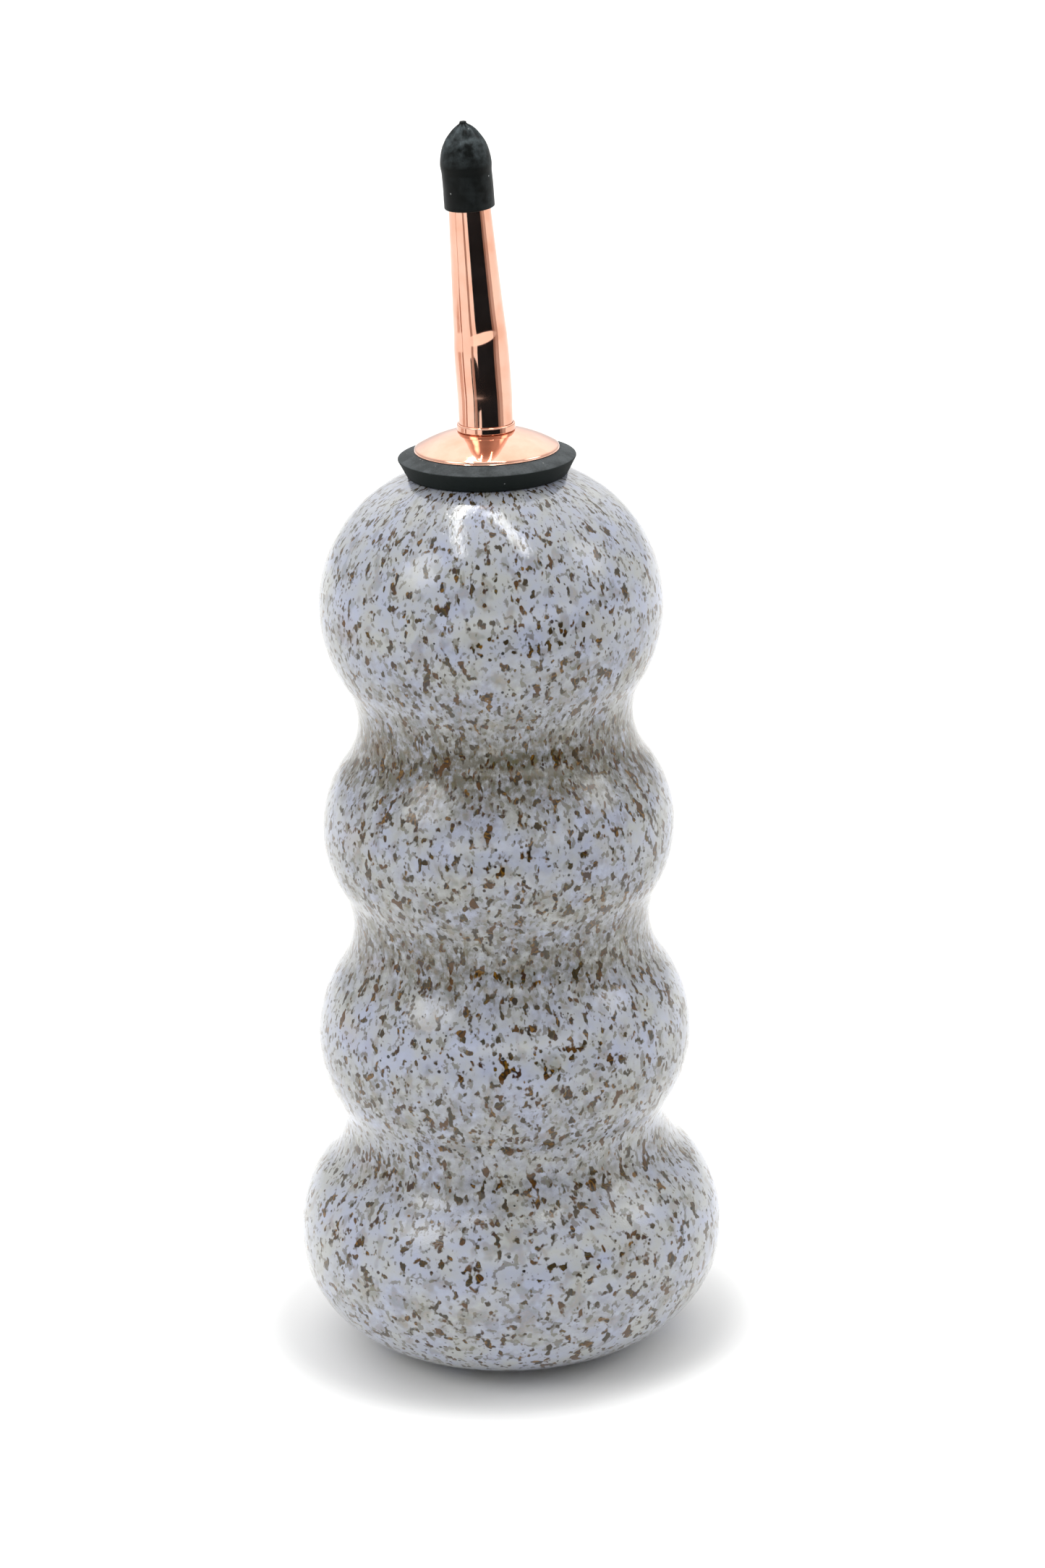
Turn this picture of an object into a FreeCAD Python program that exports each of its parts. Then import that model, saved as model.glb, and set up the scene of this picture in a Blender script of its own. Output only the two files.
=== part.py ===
"""Stoneware oil bottle with a pourer.

The bottle is one thrown shell of four stacked bulbs. A finned rubber stopper sits in its mouth and
carries a metal pourer: a pressed dome, a ferrule, a tapered spout with a slight bend, a stem that
runs down through the stopper, and a breather tube that lets air back in as the oil runs out.
A rubber dust cap closes the spout. Millimetres, +Z up, origin at the centre of the foot.
"""
import FreeCAD, Part
import Sketcher
import math
import os

SIZES = (
    # bottle: widest radius and vertical rounding of each bulb, from the foot up
    ("base_bulb_radius", 39.6),
    ("base_bulb_round", 20.4),
    ("lower_bulb_radius", 34.6),
    ("lower_bulb_round", 24.0),
    ("upper_bulb_radius", 32.4),
    ("upper_bulb_round", 21.1),
    ("crown_bulb_radius", 31.2),
    ("crown_bulb_round", 25.7),
    # bottle: height from one bulb's widest circle to the next, and the narrowest radius between them
    ("low_pitch", 38.7),
    ("low_waist_radius", 30.3),
    ("mid_pitch", 40.1),
    ("mid_waist_radius", 27.5),
    ("high_pitch", 41.6),
    ("high_waist_radius", 25.2),
    # bottle: wall, foot and mouth
    ("wall", 4.5),
    ("foot_radius", 21.0),
    ("foot_height", 0.78),
    ("foot_width", 4.5),
    ("foot_recess", 1.8),
    ("foot_round", 0.3),
    ("floor_thickness", 5.5),
    ("floor_round", 6.0),
    ("land_radius", 14.15),
    ("lip_round", 0.8),
    ("mouth_radius", 10.3),
    ("mouth_depth", 7.5),
    ("mouth_round", 0.8),
    ("throat_radius", 15.5),
    ("throat_round", 1.2),
    # rubber stopper: collar above the mouth, finned plug below it
    ("collar_radius", 16.0),
    ("collar_seat_radius", 14.3),
    ("collar_side", 3.2),
    ("collar_slope", 1.2),
    ("collar_round", 0.35),
    ("shelf_margin", 0.2),
    ("plug_length", 20.0),
    ("plug_radius", 7.6),
    ("fin_count", 4),
    ("fin_pitch", 3.8),
    ("fin_start", 4.6),
    ("fin_rise", 1.6),
    ("fin_edge", 0.8),
    ("fin_back", 0.5),
    ("fin_clearance", 0.1),
    # pressed dome and the ferrule round the foot of the spout
    ("dome_radius", 13.0),
    ("dome_edge", 0.5),
    ("dome_curve", 25.6),
    ("dome_sheet", 0.6),
    ("dome_gap", 0.05),
    ("dome_round", 0.45),
    ("ferrule_wall", 0.38),
    ("ferrule_height", 1.3),
    ("ferrule_round", 0.34),
    ("neck_fit", 0.02),
    # spout: straight root, gentle bend, middle run and upper run; a draft is how much a run narrows
    ("spout_root_radius", 4.85),
    ("spout_root_draft", 0.08),
    ("spout_middle_draft", 0.2),
    ("spout_upper_draft", 1.19),
    ("spout_wall", 0.6),
    ("spout_root_depth", 2.5),
    ("spout_root_length", 6.95),
    ("spout_bend_curve", 40.0),
    ("spout_bend_angle", 4.3),
    ("spout_middle_length", 12.8),
    ("spout_upper_length", 29.2),
    ("spout_tip_slant", 25.0),
    ("spout_heading", -130.0),
    # stem through the stopper, with the bead that holds the rubber on
    ("stem_fit", 0.08),
    ("stem_wall", 0.6),
    ("stem_spigot", 3.0),
    ("stem_clearance", 0.05),
    ("stem_tail", 3.0),
    ("bead_reach", 0.95),
    ("bead_height", 1.8),
    ("bead_gap", 0.25),
    # breather tube, from inside the bottle to the vent in the back of the spout
    ("breather_radius", 1.2),
    ("breather_wall", 0.35),
    ("breather_gap", 0.05),
    ("breather_elbow", 1.75),
    ("breather_tail", 20.0),
    ("vent_height", 5.5),
    ("vent_fit", 0.03),
    # dust cap
    ("cap_wall", 0.65),
    ("cap_flare", 0.05),
    ("cap_skirt", 7.0),
    ("cap_nose", 7.9),
    ("cap_bore_depth", 10.6),
    ("cap_overlap", 9.0),
    ("cap_fit", 0.05),
    ("nub_radius", 0.6),
    ("nub_height", 0.35),
)

BULBS = ("base", "lower", "upper", "crown")
WAISTS = ("low", "mid", "high")
OVERSHOOT = 1.0  # how far a cutting solid runs past the face it opens
AXIS_X, AXIS_Y, AXIS_Z = FreeCAD.Vector(1, 0, 0), FreeCAD.Vector(0, 1, 0), FreeCAD.Vector(0, 0, 1)
ORIGIN_POINT = (-1, 1)
H_AXIS, V_AXIS = -1, -2
START, END, CENTRE = 1, 2, 3

doc = FreeCAD.newDocument("oil_bottle")
sizes = doc.addObject("Spreadsheet::Sheet", "Sizes")
for row, (alias, number) in enumerate(SIZES, start=1):
    sizes.set(f"A{row}", alias)
    sizes.set(f"B{row}", str(number))
    sizes.setAlias(f"B{row}", alias)
doc.recompute()


def value(expression):
    """The number that an expression over the spreadsheet gives now."""
    return float(sizes.evalExpression(expression))


def bind(thing, path, expression):
    """Ties a property or a sketch constraint to the spreadsheet."""
    thing.setExpression(path, expression)


# ---- heights and radii that several pieces share, each written once

def bulb_centre(name):
    return f"(Sizes.{name}_bulb_radius - Sizes.{name}_bulb_round)"


def arc_rise(name, radius):
    """How far a bulb's arc stands above or below its widest circle where it has this radius."""
    return f"sqrt(Sizes.{name}_bulb_round ^ 2 - ({radius} - {bulb_centre(name)}) ^ 2)"


def bulb_height(index):
    base = f"(Sizes.foot_height + {arc_rise('base', 'Sizes.foot_radius')})"
    return "(" + " + ".join([base] + [f"Sizes.{name}_pitch" for name in WAISTS[:index]]) + ")"


RIM = f"({bulb_height(3)} + {arc_rise('crown', 'Sizes.land_radius')})"
FLOOR = "(Sizes.foot_recess + Sizes.floor_thickness)"
THROAT = f"({RIM} - Sizes.mouth_depth)"
COLLAR_HEIGHT = "(Sizes.collar_side + Sizes.collar_slope)"
NECK_RADIUS = "(Sizes.spout_root_radius + Sizes.neck_fit)"
FERRULE_RADIUS = f"({NECK_RADIUS} + Sizes.ferrule_wall)"
DOME_CENTRE_DROP = "(sqrt(Sizes.dome_curve ^ 2 - Sizes.dome_radius ^ 2) - Sizes.dome_edge)"
DOME_RISE = f"(sqrt(Sizes.dome_curve ^ 2 - {NECK_RADIUS} ^ 2) - {DOME_CENTRE_DROP})"
DOME_BASE = f"({RIM} + {COLLAR_HEIGHT} + Sizes.dome_gap)"
SPOUT_BASE = f"({DOME_BASE} + {DOME_RISE} - Sizes.spout_root_depth)"
STEM_RADIUS = "(Sizes.spout_root_radius - Sizes.spout_wall - Sizes.stem_fit)"
STEM_BORE = f"({STEM_RADIUS} - Sizes.stem_wall)"
STEM_BASE = f"({RIM} - Sizes.plug_length - Sizes.stem_tail)"
STEM_TOP = f"({SPOUT_BASE} + Sizes.stem_spigot)"
BREATHER_OFFSET = f"({STEM_BORE} - Sizes.breather_radius - Sizes.breather_gap)"
BREATHER_BASE = f"({STEM_BASE} - Sizes.breather_tail)"
BEND_RADIUS = "(Sizes.spout_root_radius - Sizes.spout_root_draft)"
SHOULDER_RADIUS = f"({BEND_RADIUS} - Sizes.spout_middle_draft)"
TIP_RADIUS = f"({SHOULDER_RADIUS} - Sizes.spout_upper_draft)"
ROOT_TAPER = "(Sizes.spout_root_draft / Sizes.spout_root_length)"
UPPER_TAPER = "(Sizes.spout_upper_draft / Sizes.spout_upper_length)"
SPOUT_RUN = "(Sizes.spout_middle_length + Sizes.spout_upper_length)"
KNIFE_WIDTH = f"(4 * {TIP_RADIUS})"
VENT_REACH = f"(Sizes.spout_root_radius - {ROOT_TAPER} * Sizes.vent_height)"


# ---- small helpers for bodies and sketches

def new_body(label):
    body = doc.addObject("PartDesign::Body", label)
    body.Label = label
    return body


def new_sketch(body, name, plane="XZ_Plane"):
    sketch = body.newObject("Sketcher::SketchObject", name)
    support = [feature for feature in body.Origin.OriginFeatures if feature.Role == plane][0]
    sketch.AttachmentSupport = [(support, "")]
    sketch.MapMode = "FlatFace"
    return sketch


def dimension(sketch, kind, *references, expression):
    """A driving dimension of a sketch, bound to the spreadsheet."""
    index = sketch.addConstraint(Sketcher.Constraint(kind, *references, value(expression)))
    name = f"{kind}_{index}"
    sketch.renameConstraint(index, name)
    bind(sketch, f"Constraints.{name}", expression)


def fix_point(sketch, geometry, end, x, z):
    """Places a point of a sketch; x or z may be None for free, or "0" for on the axis."""
    for kind, axis, expression in (("DistanceX", V_AXIS, x), ("DistanceY", H_AXIS, z)):
        if expression == "0":
            sketch.addConstraint(Sketcher.Constraint("PointOnObject", geometry, end, axis))
        elif expression is not None:
            dimension(sketch, kind, *ORIGIN_POINT, geometry, end, expression=expression)


def add_line(sketch, start, end):
    return sketch.addGeometry(Part.LineSegment(FreeCAD.Vector(*start, 0), FreeCAD.Vector(*end, 0)), False)


def add_arc(sketch, centre, radius, first, last):
    """An arc that runs anticlockwise from angle first to angle last."""
    circle = Part.Circle(FreeCAD.Vector(*centre, 0), AXIS_Z, radius)
    return sketch.addGeometry(Part.ArcOfCircle(circle, first, last), False)


def join(sketch, *ends, smooth=False):
    sketch.addConstraint(Sketcher.Constraint("Tangent" if smooth else "Coincident", *ends))


def polygon(sketch, corners):
    """A closed outline of straight edges through corners given as (x, z) expressions."""
    points = [(value(x), value(z)) for x, z in corners]
    edges = [add_line(sketch, here, there) for here, there in zip(points, points[1:] + points[:1])]
    for edge, following in zip(edges, edges[1:] + edges[:1]):
        join(sketch, edge, END, following, START)
    for edge, (x, z) in zip(edges, corners):
        fix_point(sketch, edge, START, x, z)


def revolve(body, sketch, name):
    feature = body.newObject("PartDesign::Revolution", name)
    feature.Profile = (sketch, [""])
    feature.ReferenceAxis = (sketch, ["V_Axis"])
    feature.Angle = 360
    doc.recompute()
    return feature


def round_edges(body, base, name, circles, radius):
    """Rounds the circular edges that lie at the given (radius, height) pairs of expressions."""
    wanted = [(value(r), value(z)) for r, z in circles]
    found = []
    for number, edge in enumerate(base.Shape.Edges, start=1):
        if not isinstance(edge.Curve, Part.Circle):
            continue
        here = (edge.Curve.Radius, edge.Curve.Center.z)
        if any(math.dist(here, there) < 1e-4 for there in wanted):
            found.append(f"Edge{number}")
    if len(found) < len(wanted):
        raise RuntimeError(f"{name}: found {len(found)} of {len(wanted)} edges")
    fillet = body.newObject("PartDesign::Fillet", name)
    fillet.Base = (base, found)
    bind(fillet, "Radius", radius)
    doc.recompute()
    return fillet


def primitive(kind, name, placement=None, **expressions):
    solid = doc.addObject(f"Part::{kind}", name)
    for prop, expression in expressions.items():
        bind(solid, prop, expression)
    if placement is not None:
        solid.Placement = placement
    return solid


def fused(name, *solids):
    result = doc.addObject("Part::MultiFuse", name)
    result.Shapes = list(solids)
    return result


def cut(name, base, tool):
    result = doc.addObject("Part::Cut", name)
    result.Base, result.Tool = base, tool
    return result


def at(x=0.0, z=0.0, turn=0.0, axis=AXIS_Z):
    return FreeCAD.Placement(FreeCAD.Vector(x, 0, z), FreeCAD.Rotation(axis, turn))


# ---- the bottle

def waist_circle(low, high, narrow):
    """Radius and height of the circle that touches two bulbs and comes in to the narrow radius.

    Each bulb is (centre x, centre z, radius). The circle's centre lies at x = narrow + its radius."""
    slack_low, slack_high = low[2] + low[0] - narrow, high[2] + high[0] - narrow
    span_low = low[2] ** 2 - (narrow - low[0]) ** 2
    span_high = high[2] ** 2 - (narrow - high[0]) ** 2
    height = high[1] - low[1]
    a = slack_high - slack_low
    b = 2 * slack_low * height
    c = slack_low * (span_high - height ** 2) - slack_high * span_low
    climb = -2 * c / (b + math.sqrt(b * b - 4 * a * c))
    return (climb ** 2 - span_low) / (2 * slack_low), low[1] + climb


def wall_curve(sketch, inset, first, last):
    """The chain of bulb and waist arcs of one wall face, inset from the outside of the clay.

    It starts at angle first on the base bulb and ends at angle last on the crown.
    Returns the first and the last arc of the chain."""
    rounds = [f"(Sizes.{name}_bulb_round - {inset})" for name in BULBS]
    circles = [
        (value(bulb_centre(name)), value(bulb_height(index)), value(rounds[index]))
        for index, name in enumerate(BULBS)
    ]
    narrows = [f"(Sizes.{name}_waist_radius - {inset})" for name in WAISTS]
    hollows = []
    for low, high, narrow in zip(circles, circles[1:], narrows):
        radius, height = waist_circle(low, high, value(narrow))
        hollows.append((value(narrow) + radius, height, radius))

    def direction(start, end):
        return math.atan2(end[1] - start[1], end[0] - start[0])

    arcs = []
    for index, (x, z, radius) in enumerate(circles):
        begin = first if index == 0 else direction(circles[index], hollows[index - 1])
        stop = last if index == len(circles) - 1 else direction(circles[index], hollows[index])
        arc = add_arc(sketch, (x, z), radius, begin, stop)
        dimension(sketch, "Radius", arc, expression=rounds[index])
        fix_point(sketch, arc, CENTRE, bulb_centre(BULBS[index]), bulb_height(index))
        arcs.append(arc)
    for index, (x, z, radius) in enumerate(hollows):
        upward = direction(hollows[index], circles[index + 1])
        downward = direction(hollows[index], circles[index]) + 2 * math.pi
        hollow = add_arc(sketch, (x, z), radius, upward, downward)
        join(sketch, arcs[index], END, hollow, END, smooth=True)
        join(sketch, hollow, START, arcs[index + 1], START, smooth=True)
        spoke = add_line(sketch, (x, z), (x - radius, z))
        sketch.setConstruction(spoke, True)
        join(sketch, spoke, START, hollow, CENTRE)
        sketch.addConstraint(Sketcher.Constraint("Horizontal", spoke))
        sketch.addConstraint(Sketcher.Constraint("PointOnObject", spoke, END, hollow))
        fix_point(sketch, spoke, END, narrows[index], None)
    return arcs[0], arcs[-1]


def make_bottle():
    body = new_body("bottle_body")
    sketch = new_sketch(body, "bottle_profile")
    base_x, base_z = value(bulb_centre("base")), value(bulb_height(0))
    crown_x, crown_z = value(bulb_centre("crown")), value(bulb_height(3))
    foot, foot_height = value("Sizes.foot_radius"), value("Sizes.foot_height")
    foot_inside, recess = value("Sizes.foot_radius - Sizes.foot_width"), value("Sizes.foot_recess")
    land, rim, mouth = value("Sizes.land_radius"), value(RIM), value("Sizes.mouth_radius")
    throat, throat_z = value("Sizes.throat_radius"), value(THROAT)

    outer_first, outer_last = wall_curve(
        sketch, "0",
        math.atan2(foot_height - base_z, foot - base_x),
        math.atan2(rim - crown_z, land - crown_x),
    )
    # inside: where the floor's rounding meets the base bulb, and where the thick mouth meets the crown
    inner_base = value("Sizes.base_bulb_round - Sizes.wall")
    inner_crown = value("Sizes.crown_bulb_round - Sizes.wall")
    floor, corner = value(FLOOR), value("Sizes.floor_round")
    corner_z = floor + corner
    corner_x = base_x + math.sqrt((inner_base - corner) ** 2 - (base_z - corner_z) ** 2)
    corner_turn = math.atan2(corner_z - base_z, corner_x - base_x)
    meeting_z = crown_z + math.sqrt(inner_crown ** 2 - (throat - crown_x) ** 2)
    inner_first, inner_last = wall_curve(
        sketch, "Sizes.wall", corner_turn, math.atan2(meeting_z - crown_z, throat - crown_x))

    foot_wall = add_line(sketch, (foot, 0), (foot, foot_height))
    foot_face = add_line(sketch, (foot, 0), (foot_inside, 0))
    recess_wall = add_line(sketch, (foot_inside, 0), (foot_inside, recess))
    recess_face = add_line(sketch, (foot_inside, recess), (0, recess))
    centre_line = add_line(sketch, (0, recess), (0, floor))
    floor_line = add_line(sketch, (0, floor), (corner_x, floor))
    floor_arc = add_arc(sketch, (corner_x, corner_z), corner, -math.pi / 2, corner_turn)
    rim_line = add_line(sketch, (land, rim), (mouth, rim))
    bore_line = add_line(sketch, (mouth, rim), (mouth, throat_z))
    throat_line = add_line(sketch, (mouth, throat_z), (throat, meeting_z))
    for ends in (
        (foot_wall, END, outer_first, START), (foot_wall, START, foot_face, START),
        (foot_face, END, recess_wall, START), (recess_wall, END, recess_face, START),
        (recess_face, END, centre_line, START), (centre_line, END, floor_line, START),
        (rim_line, START, outer_last, END), (rim_line, END, bore_line, START),
        (bore_line, END, throat_line, START), (throat_line, END, inner_last, END),
    ):
        join(sketch, *ends)
    join(sketch, floor_line, END, floor_arc, START, smooth=True)
    join(sketch, floor_arc, END, inner_first, START, smooth=True)
    dimension(sketch, "Radius", floor_arc, expression="Sizes.floor_round")
    for upright in (foot_wall, recess_wall, bore_line):
        sketch.addConstraint(Sketcher.Constraint("Vertical", upright))
    for level in (recess_face, floor_line, rim_line):
        sketch.addConstraint(Sketcher.Constraint("Horizontal", level))
    fix_point(sketch, foot_wall, START, "Sizes.foot_radius", "0")
    fix_point(sketch, foot_face, END, "Sizes.foot_radius - Sizes.foot_width", "0")
    fix_point(sketch, recess_wall, END, None, "Sizes.foot_recess")
    fix_point(sketch, centre_line, START, "0", None)
    fix_point(sketch, centre_line, END, "0", FLOOR)
    fix_point(sketch, rim_line, START, "Sizes.land_radius", None)
    fix_point(sketch, bore_line, START, "Sizes.mouth_radius", None)
    fix_point(sketch, bore_line, END, None, THROAT)
    fix_point(sketch, throat_line, END, "Sizes.throat_radius", None)

    shell = revolve(body, sketch, "bottle_shell")
    shell = round_edges(body, shell, "lip", [("Sizes.land_radius", RIM)], "Sizes.lip_round")
    shell = round_edges(body, shell, "mouth_edge", [("Sizes.mouth_radius", RIM)], "Sizes.mouth_round")
    shell = round_edges(body, shell, "throat_edge", [("Sizes.mouth_radius", THROAT)], "Sizes.throat_round")
    round_edges(
        body, shell, "foot_edges",
        [("Sizes.foot_radius", "0"), ("Sizes.foot_radius - Sizes.foot_width", "0")], "Sizes.foot_round")
    return body


# ---- the rubber stopper

def make_stopper():
    """Built from the bottom of its plug up; its collar's underside rests on the bottle's rim."""
    body = new_body("rubber_stopper")
    bore = f"{STEM_RADIUS} + Sizes.stem_clearance"
    seat = "Sizes.plug_length"
    crease = "Sizes.plug_length + Sizes.collar_side"
    top = f"Sizes.plug_length + {COLLAR_HEIGHT}"
    core = new_sketch(body, "stopper_profile")
    polygon(core, [
        (bore, "0"),
        ("Sizes.plug_radius", "0"),
        ("Sizes.plug_radius", seat),
        ("Sizes.collar_seat_radius", seat),
        ("Sizes.collar_radius", crease),
        ("Sizes.dome_radius + Sizes.shelf_margin", top),
        (bore, top),
    ])
    plug = revolve(body, core, "plug_and_collar")
    plug = round_edges(
        body, plug, "collar_edges",
        [("Sizes.collar_seat_radius", seat), ("Sizes.collar_radius", crease)], "Sizes.collar_round")
    fin_radius = "Sizes.mouth_radius - Sizes.fin_clearance"
    tip = "Sizes.fin_start + Sizes.fin_rise"
    buried = "Sizes.plug_radius - Sizes.fin_edge"
    section = new_sketch(body, "fin_profile")
    polygon(section, [
        (buried, "Sizes.fin_start"),
        ("Sizes.plug_radius", "Sizes.fin_start"),
        (fin_radius, tip),
        (fin_radius, f"{tip} + Sizes.fin_edge"),
        ("Sizes.plug_radius", f"{tip} + Sizes.fin_edge + Sizes.fin_back"),
        (buried, f"{tip} + Sizes.fin_edge + Sizes.fin_back"),
    ])
    fin = revolve(body, section, "fin")
    fins = body.newObject("PartDesign::LinearPattern", "fins")
    fins.Originals = [fin]
    fins.Direction = (section, ["V_Axis"])
    bind(fins, "Length", "Sizes.fin_pitch * (Sizes.fin_count - 1)")
    bind(fins, "Occurrences", "Sizes.fin_count")
    body.Tip = fins
    doc.recompute()
    bind(body, "Placement.Base.z", f"{RIM} - Sizes.plug_length")
    return body


# ---- the pourer: dome, ferrule, spout, stem and breather

def make_dome():
    """A pressed sheet-metal cap; its two faces are parts of spheres about one point on the axis."""
    body = new_body("dome_flange")
    sketch = new_sketch(body, "dome_profile")
    rim, sheet = value("Sizes.dome_radius"), value("Sizes.dome_sheet")
    outer, inner = value("Sizes.dome_curve"), value("Sizes.dome_curve - Sizes.dome_sheet")
    neck, drop, edge = value(NECK_RADIUS), value(DOME_CENTRE_DROP), value("Sizes.dome_edge")

    def height(radius, x):
        return math.sqrt(radius ** 2 - x ** 2) - drop

    def turn(radius, x):
        return math.acos(x / radius)

    skirt = add_line(sketch, (rim, 0), (rim, edge))
    outside = add_arc(sketch, (0, -drop), outer, turn(outer, rim), turn(outer, neck))
    hole = add_line(sketch, (neck, height(outer, neck)), (neck, height(inner, neck)))
    inside = add_arc(sketch, (0, -drop), inner, turn(inner, rim - sheet), turn(inner, neck))
    lining = add_line(sketch, (rim - sheet, height(inner, rim - sheet)), (rim - sheet, 0))
    foot = add_line(sketch, (rim - sheet, 0), (rim, 0))
    join(sketch, skirt, END, outside, START)
    join(sketch, outside, END, hole, START)
    join(sketch, hole, END, inside, END)
    join(sketch, inside, START, lining, START)
    join(sketch, lining, END, foot, START)
    join(sketch, foot, END, skirt, START)
    for upright in (skirt, hole, lining):
        sketch.addConstraint(Sketcher.Constraint("Vertical", upright))
    join(sketch, inside, CENTRE, outside, CENTRE)
    sketch.addConstraint(Sketcher.Constraint("PointOnObject", outside, CENTRE, V_AXIS))
    dimension(sketch, "Radius", outside, expression="Sizes.dome_curve")
    dimension(sketch, "Radius", inside, expression="Sizes.dome_curve - Sizes.dome_sheet")
    fix_point(sketch, skirt, START, "Sizes.dome_radius", "0")
    fix_point(sketch, skirt, END, None, "Sizes.dome_edge")
    fix_point(sketch, hole, START, NECK_RADIUS, None)
    fix_point(sketch, foot, START, "Sizes.dome_radius - Sizes.dome_sheet", "0")
    shell = revolve(body, sketch, "dome_shell")
    round_edges(body, shell, "dome_rim", [("Sizes.dome_radius", "Sizes.dome_edge")], "Sizes.dome_round")
    bind(body, "Placement.Base.z", DOME_BASE)
    return body


def make_ferrule():
    body = new_body("spout_ferrule")
    sketch = new_sketch(body, "ferrule_profile")
    polygon(sketch, [
        (NECK_RADIUS, "0"),
        (FERRULE_RADIUS, "0"),
        (FERRULE_RADIUS, "Sizes.ferrule_height"),
        (NECK_RADIUS, "Sizes.ferrule_height"),
    ])
    ring = revolve(body, sketch, "ferrule_ring")
    round_edges(
        body, ring, "ferrule_edges",
        [(FERRULE_RADIUS, "0"), (FERRULE_RADIUS, "Sizes.ferrule_height")], "Sizes.ferrule_round")
    bind(body, "Placement.Base.z", f"{DOME_BASE} + {DOME_RISE}")
    return body


def bend_frames():
    """In the spout's own frame, which bends towards +X: the bend's ring and the straight run after it."""
    root = value("Sizes.spout_root_length")
    curve, angle = value("Sizes.spout_bend_curve"), value("Sizes.spout_bend_angle")
    ring = FreeCAD.Placement(
        FreeCAD.Vector(curve, 0, root),
        FreeCAD.Rotation(FreeCAD.Vector(-1, 0, 0), AXIS_Z, AXIS_Y, "ZXY"),
    )
    turn = math.radians(angle)
    after = at(curve * (1 - math.cos(turn)), root + curve * math.sin(turn), angle, AXIS_Y)
    return ring, after


def along_spout(expression):
    """The frame that lies this far up the straight run above the bend."""
    return bend_frames()[1].multiply(at(z=value(expression)))


def tapered_tube(name, inset):
    """The spout's outside, or with an inset the bore inside it, which runs past both ends."""
    ring, after = bend_frames()
    past = OVERSHOOT if inset != "0" else 0.0
    root = primitive(
        "Cone", f"{name}_root", at(z=-past),
        Radius1=f"Sizes.spout_root_radius - {inset} + {ROOT_TAPER} * {past}",
        Radius2=f"{BEND_RADIUS} - {inset}",
        Height=f"Sizes.spout_root_length + {past}",
    )
    bend = primitive(
        "Torus", f"{name}_bend", ring,
        Radius1="Sizes.spout_bend_curve",
        Radius2=f"{BEND_RADIUS} - {inset}",
        Angle3="Sizes.spout_bend_angle",
    )
    middle = primitive(
        "Cone", f"{name}_middle", after,
        Radius1=f"{BEND_RADIUS} - {inset}",
        Radius2=f"{SHOULDER_RADIUS} - {inset}",
        Height="Sizes.spout_middle_length",
    )
    upper = primitive(
        "Cone", f"{name}_upper", along_spout("Sizes.spout_middle_length"),
        Radius1=f"{SHOULDER_RADIUS} - {inset}",
        Radius2=f"{TIP_RADIUS} - {inset} - {UPPER_TAPER} * {past}",
        Height=f"Sizes.spout_upper_length + {past}",
    )
    return fused(name, root, bend, middle, upper)


def pourer_placement(z_expression, offset="0"):
    """The pourer's frame, whose +X looks the way the spout bends; offset moves along it."""
    heading = FreeCAD.Placement(
        FreeCAD.Vector(0, 0, value(z_expression)),
        FreeCAD.Rotation(AXIS_Z, value("Sizes.spout_heading")),
    )
    return heading.multiply(at(x=value(offset)))


def make_spout():
    """A tapered tube with a slight bend, a slanted pouring tip and a vent in the back."""
    outside, bore = tapered_tube("spout_outside", "0"), tapered_tube("spout_bore", "Sizes.spout_wall")
    tube = cut("spout_tube", outside, bore)
    vent = primitive(
        "Cylinder", "vent_drill",
        FreeCAD.Placement(
            FreeCAD.Vector(0, 0, value("Sizes.vent_height")), FreeCAD.Rotation(AXIS_Y, -90)),
        Radius="Sizes.breather_radius + Sizes.vent_fit",
        Height=f"Sizes.spout_root_radius + {OVERSHOOT}",
    )
    vented = cut("vented_tube", tube, vent)
    # the tip is sliced so that its front edge, on the side it bends to, stands highest
    width = value(KNIFE_WIDTH)
    corner = FreeCAD.Placement(FreeCAD.Vector(-width, -width / 2, 0), FreeCAD.Rotation())
    lip = along_spout(SPOUT_RUN).multiply(at(x=value(TIP_RADIUS)))
    slant = at(turn=-value("Sizes.spout_tip_slant"), axis=AXIS_Y)
    knife = primitive(
        "Box", "tip_slice", lip.multiply(slant).multiply(corner),
        Length=f"{KNIFE_WIDTH} + {OVERSHOOT}", Width=KNIFE_WIDTH, Height=KNIFE_WIDTH)
    spout = cut("pouring_spout", vented, knife)
    spout.Label = "pouring_spout"
    spout.Placement = pourer_placement(SPOUT_BASE)
    return spout


def make_stem():
    """A straight tube from inside the spout's root down through the stopper, beaded at its foot."""
    body = new_body("stem_tube")
    tube = new_sketch(body, "stem_profile")
    length = f"{STEM_TOP} - {STEM_BASE}"
    polygon(tube, [(STEM_BORE, "0"), (STEM_RADIUS, "0"), (STEM_RADIUS, length), (STEM_BORE, length)])
    revolve(body, tube, "stem_wall_tube")
    bead = new_sketch(body, "bead_profile")
    bead_top = "Sizes.stem_tail - Sizes.bead_gap"
    middle = f"{STEM_RADIUS} - Sizes.stem_wall / 2"
    crest = f"{STEM_RADIUS} + Sizes.bead_reach"
    polygon(bead, [
        (middle, f"{bead_top} - Sizes.bead_height"),
        (STEM_RADIUS, f"{bead_top} - Sizes.bead_height"),
        (crest, f"{bead_top} - Sizes.bead_height * 0.65"),
        (crest, f"{bead_top} - Sizes.bead_height * 0.35"),
        (STEM_RADIUS, bead_top),
        (middle, bead_top),
    ])
    ring = revolve(body, bead, "bead")
    round_edges(body, ring, "bead_crown", [
        (crest, f"{bead_top} - Sizes.bead_height * 0.65"),
        (crest, f"{bead_top} - Sizes.bead_height * 0.35"),
    ], "Sizes.bead_height * 0.2")
    bind(body, "Placement.Base.z", STEM_BASE)
    return body


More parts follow.
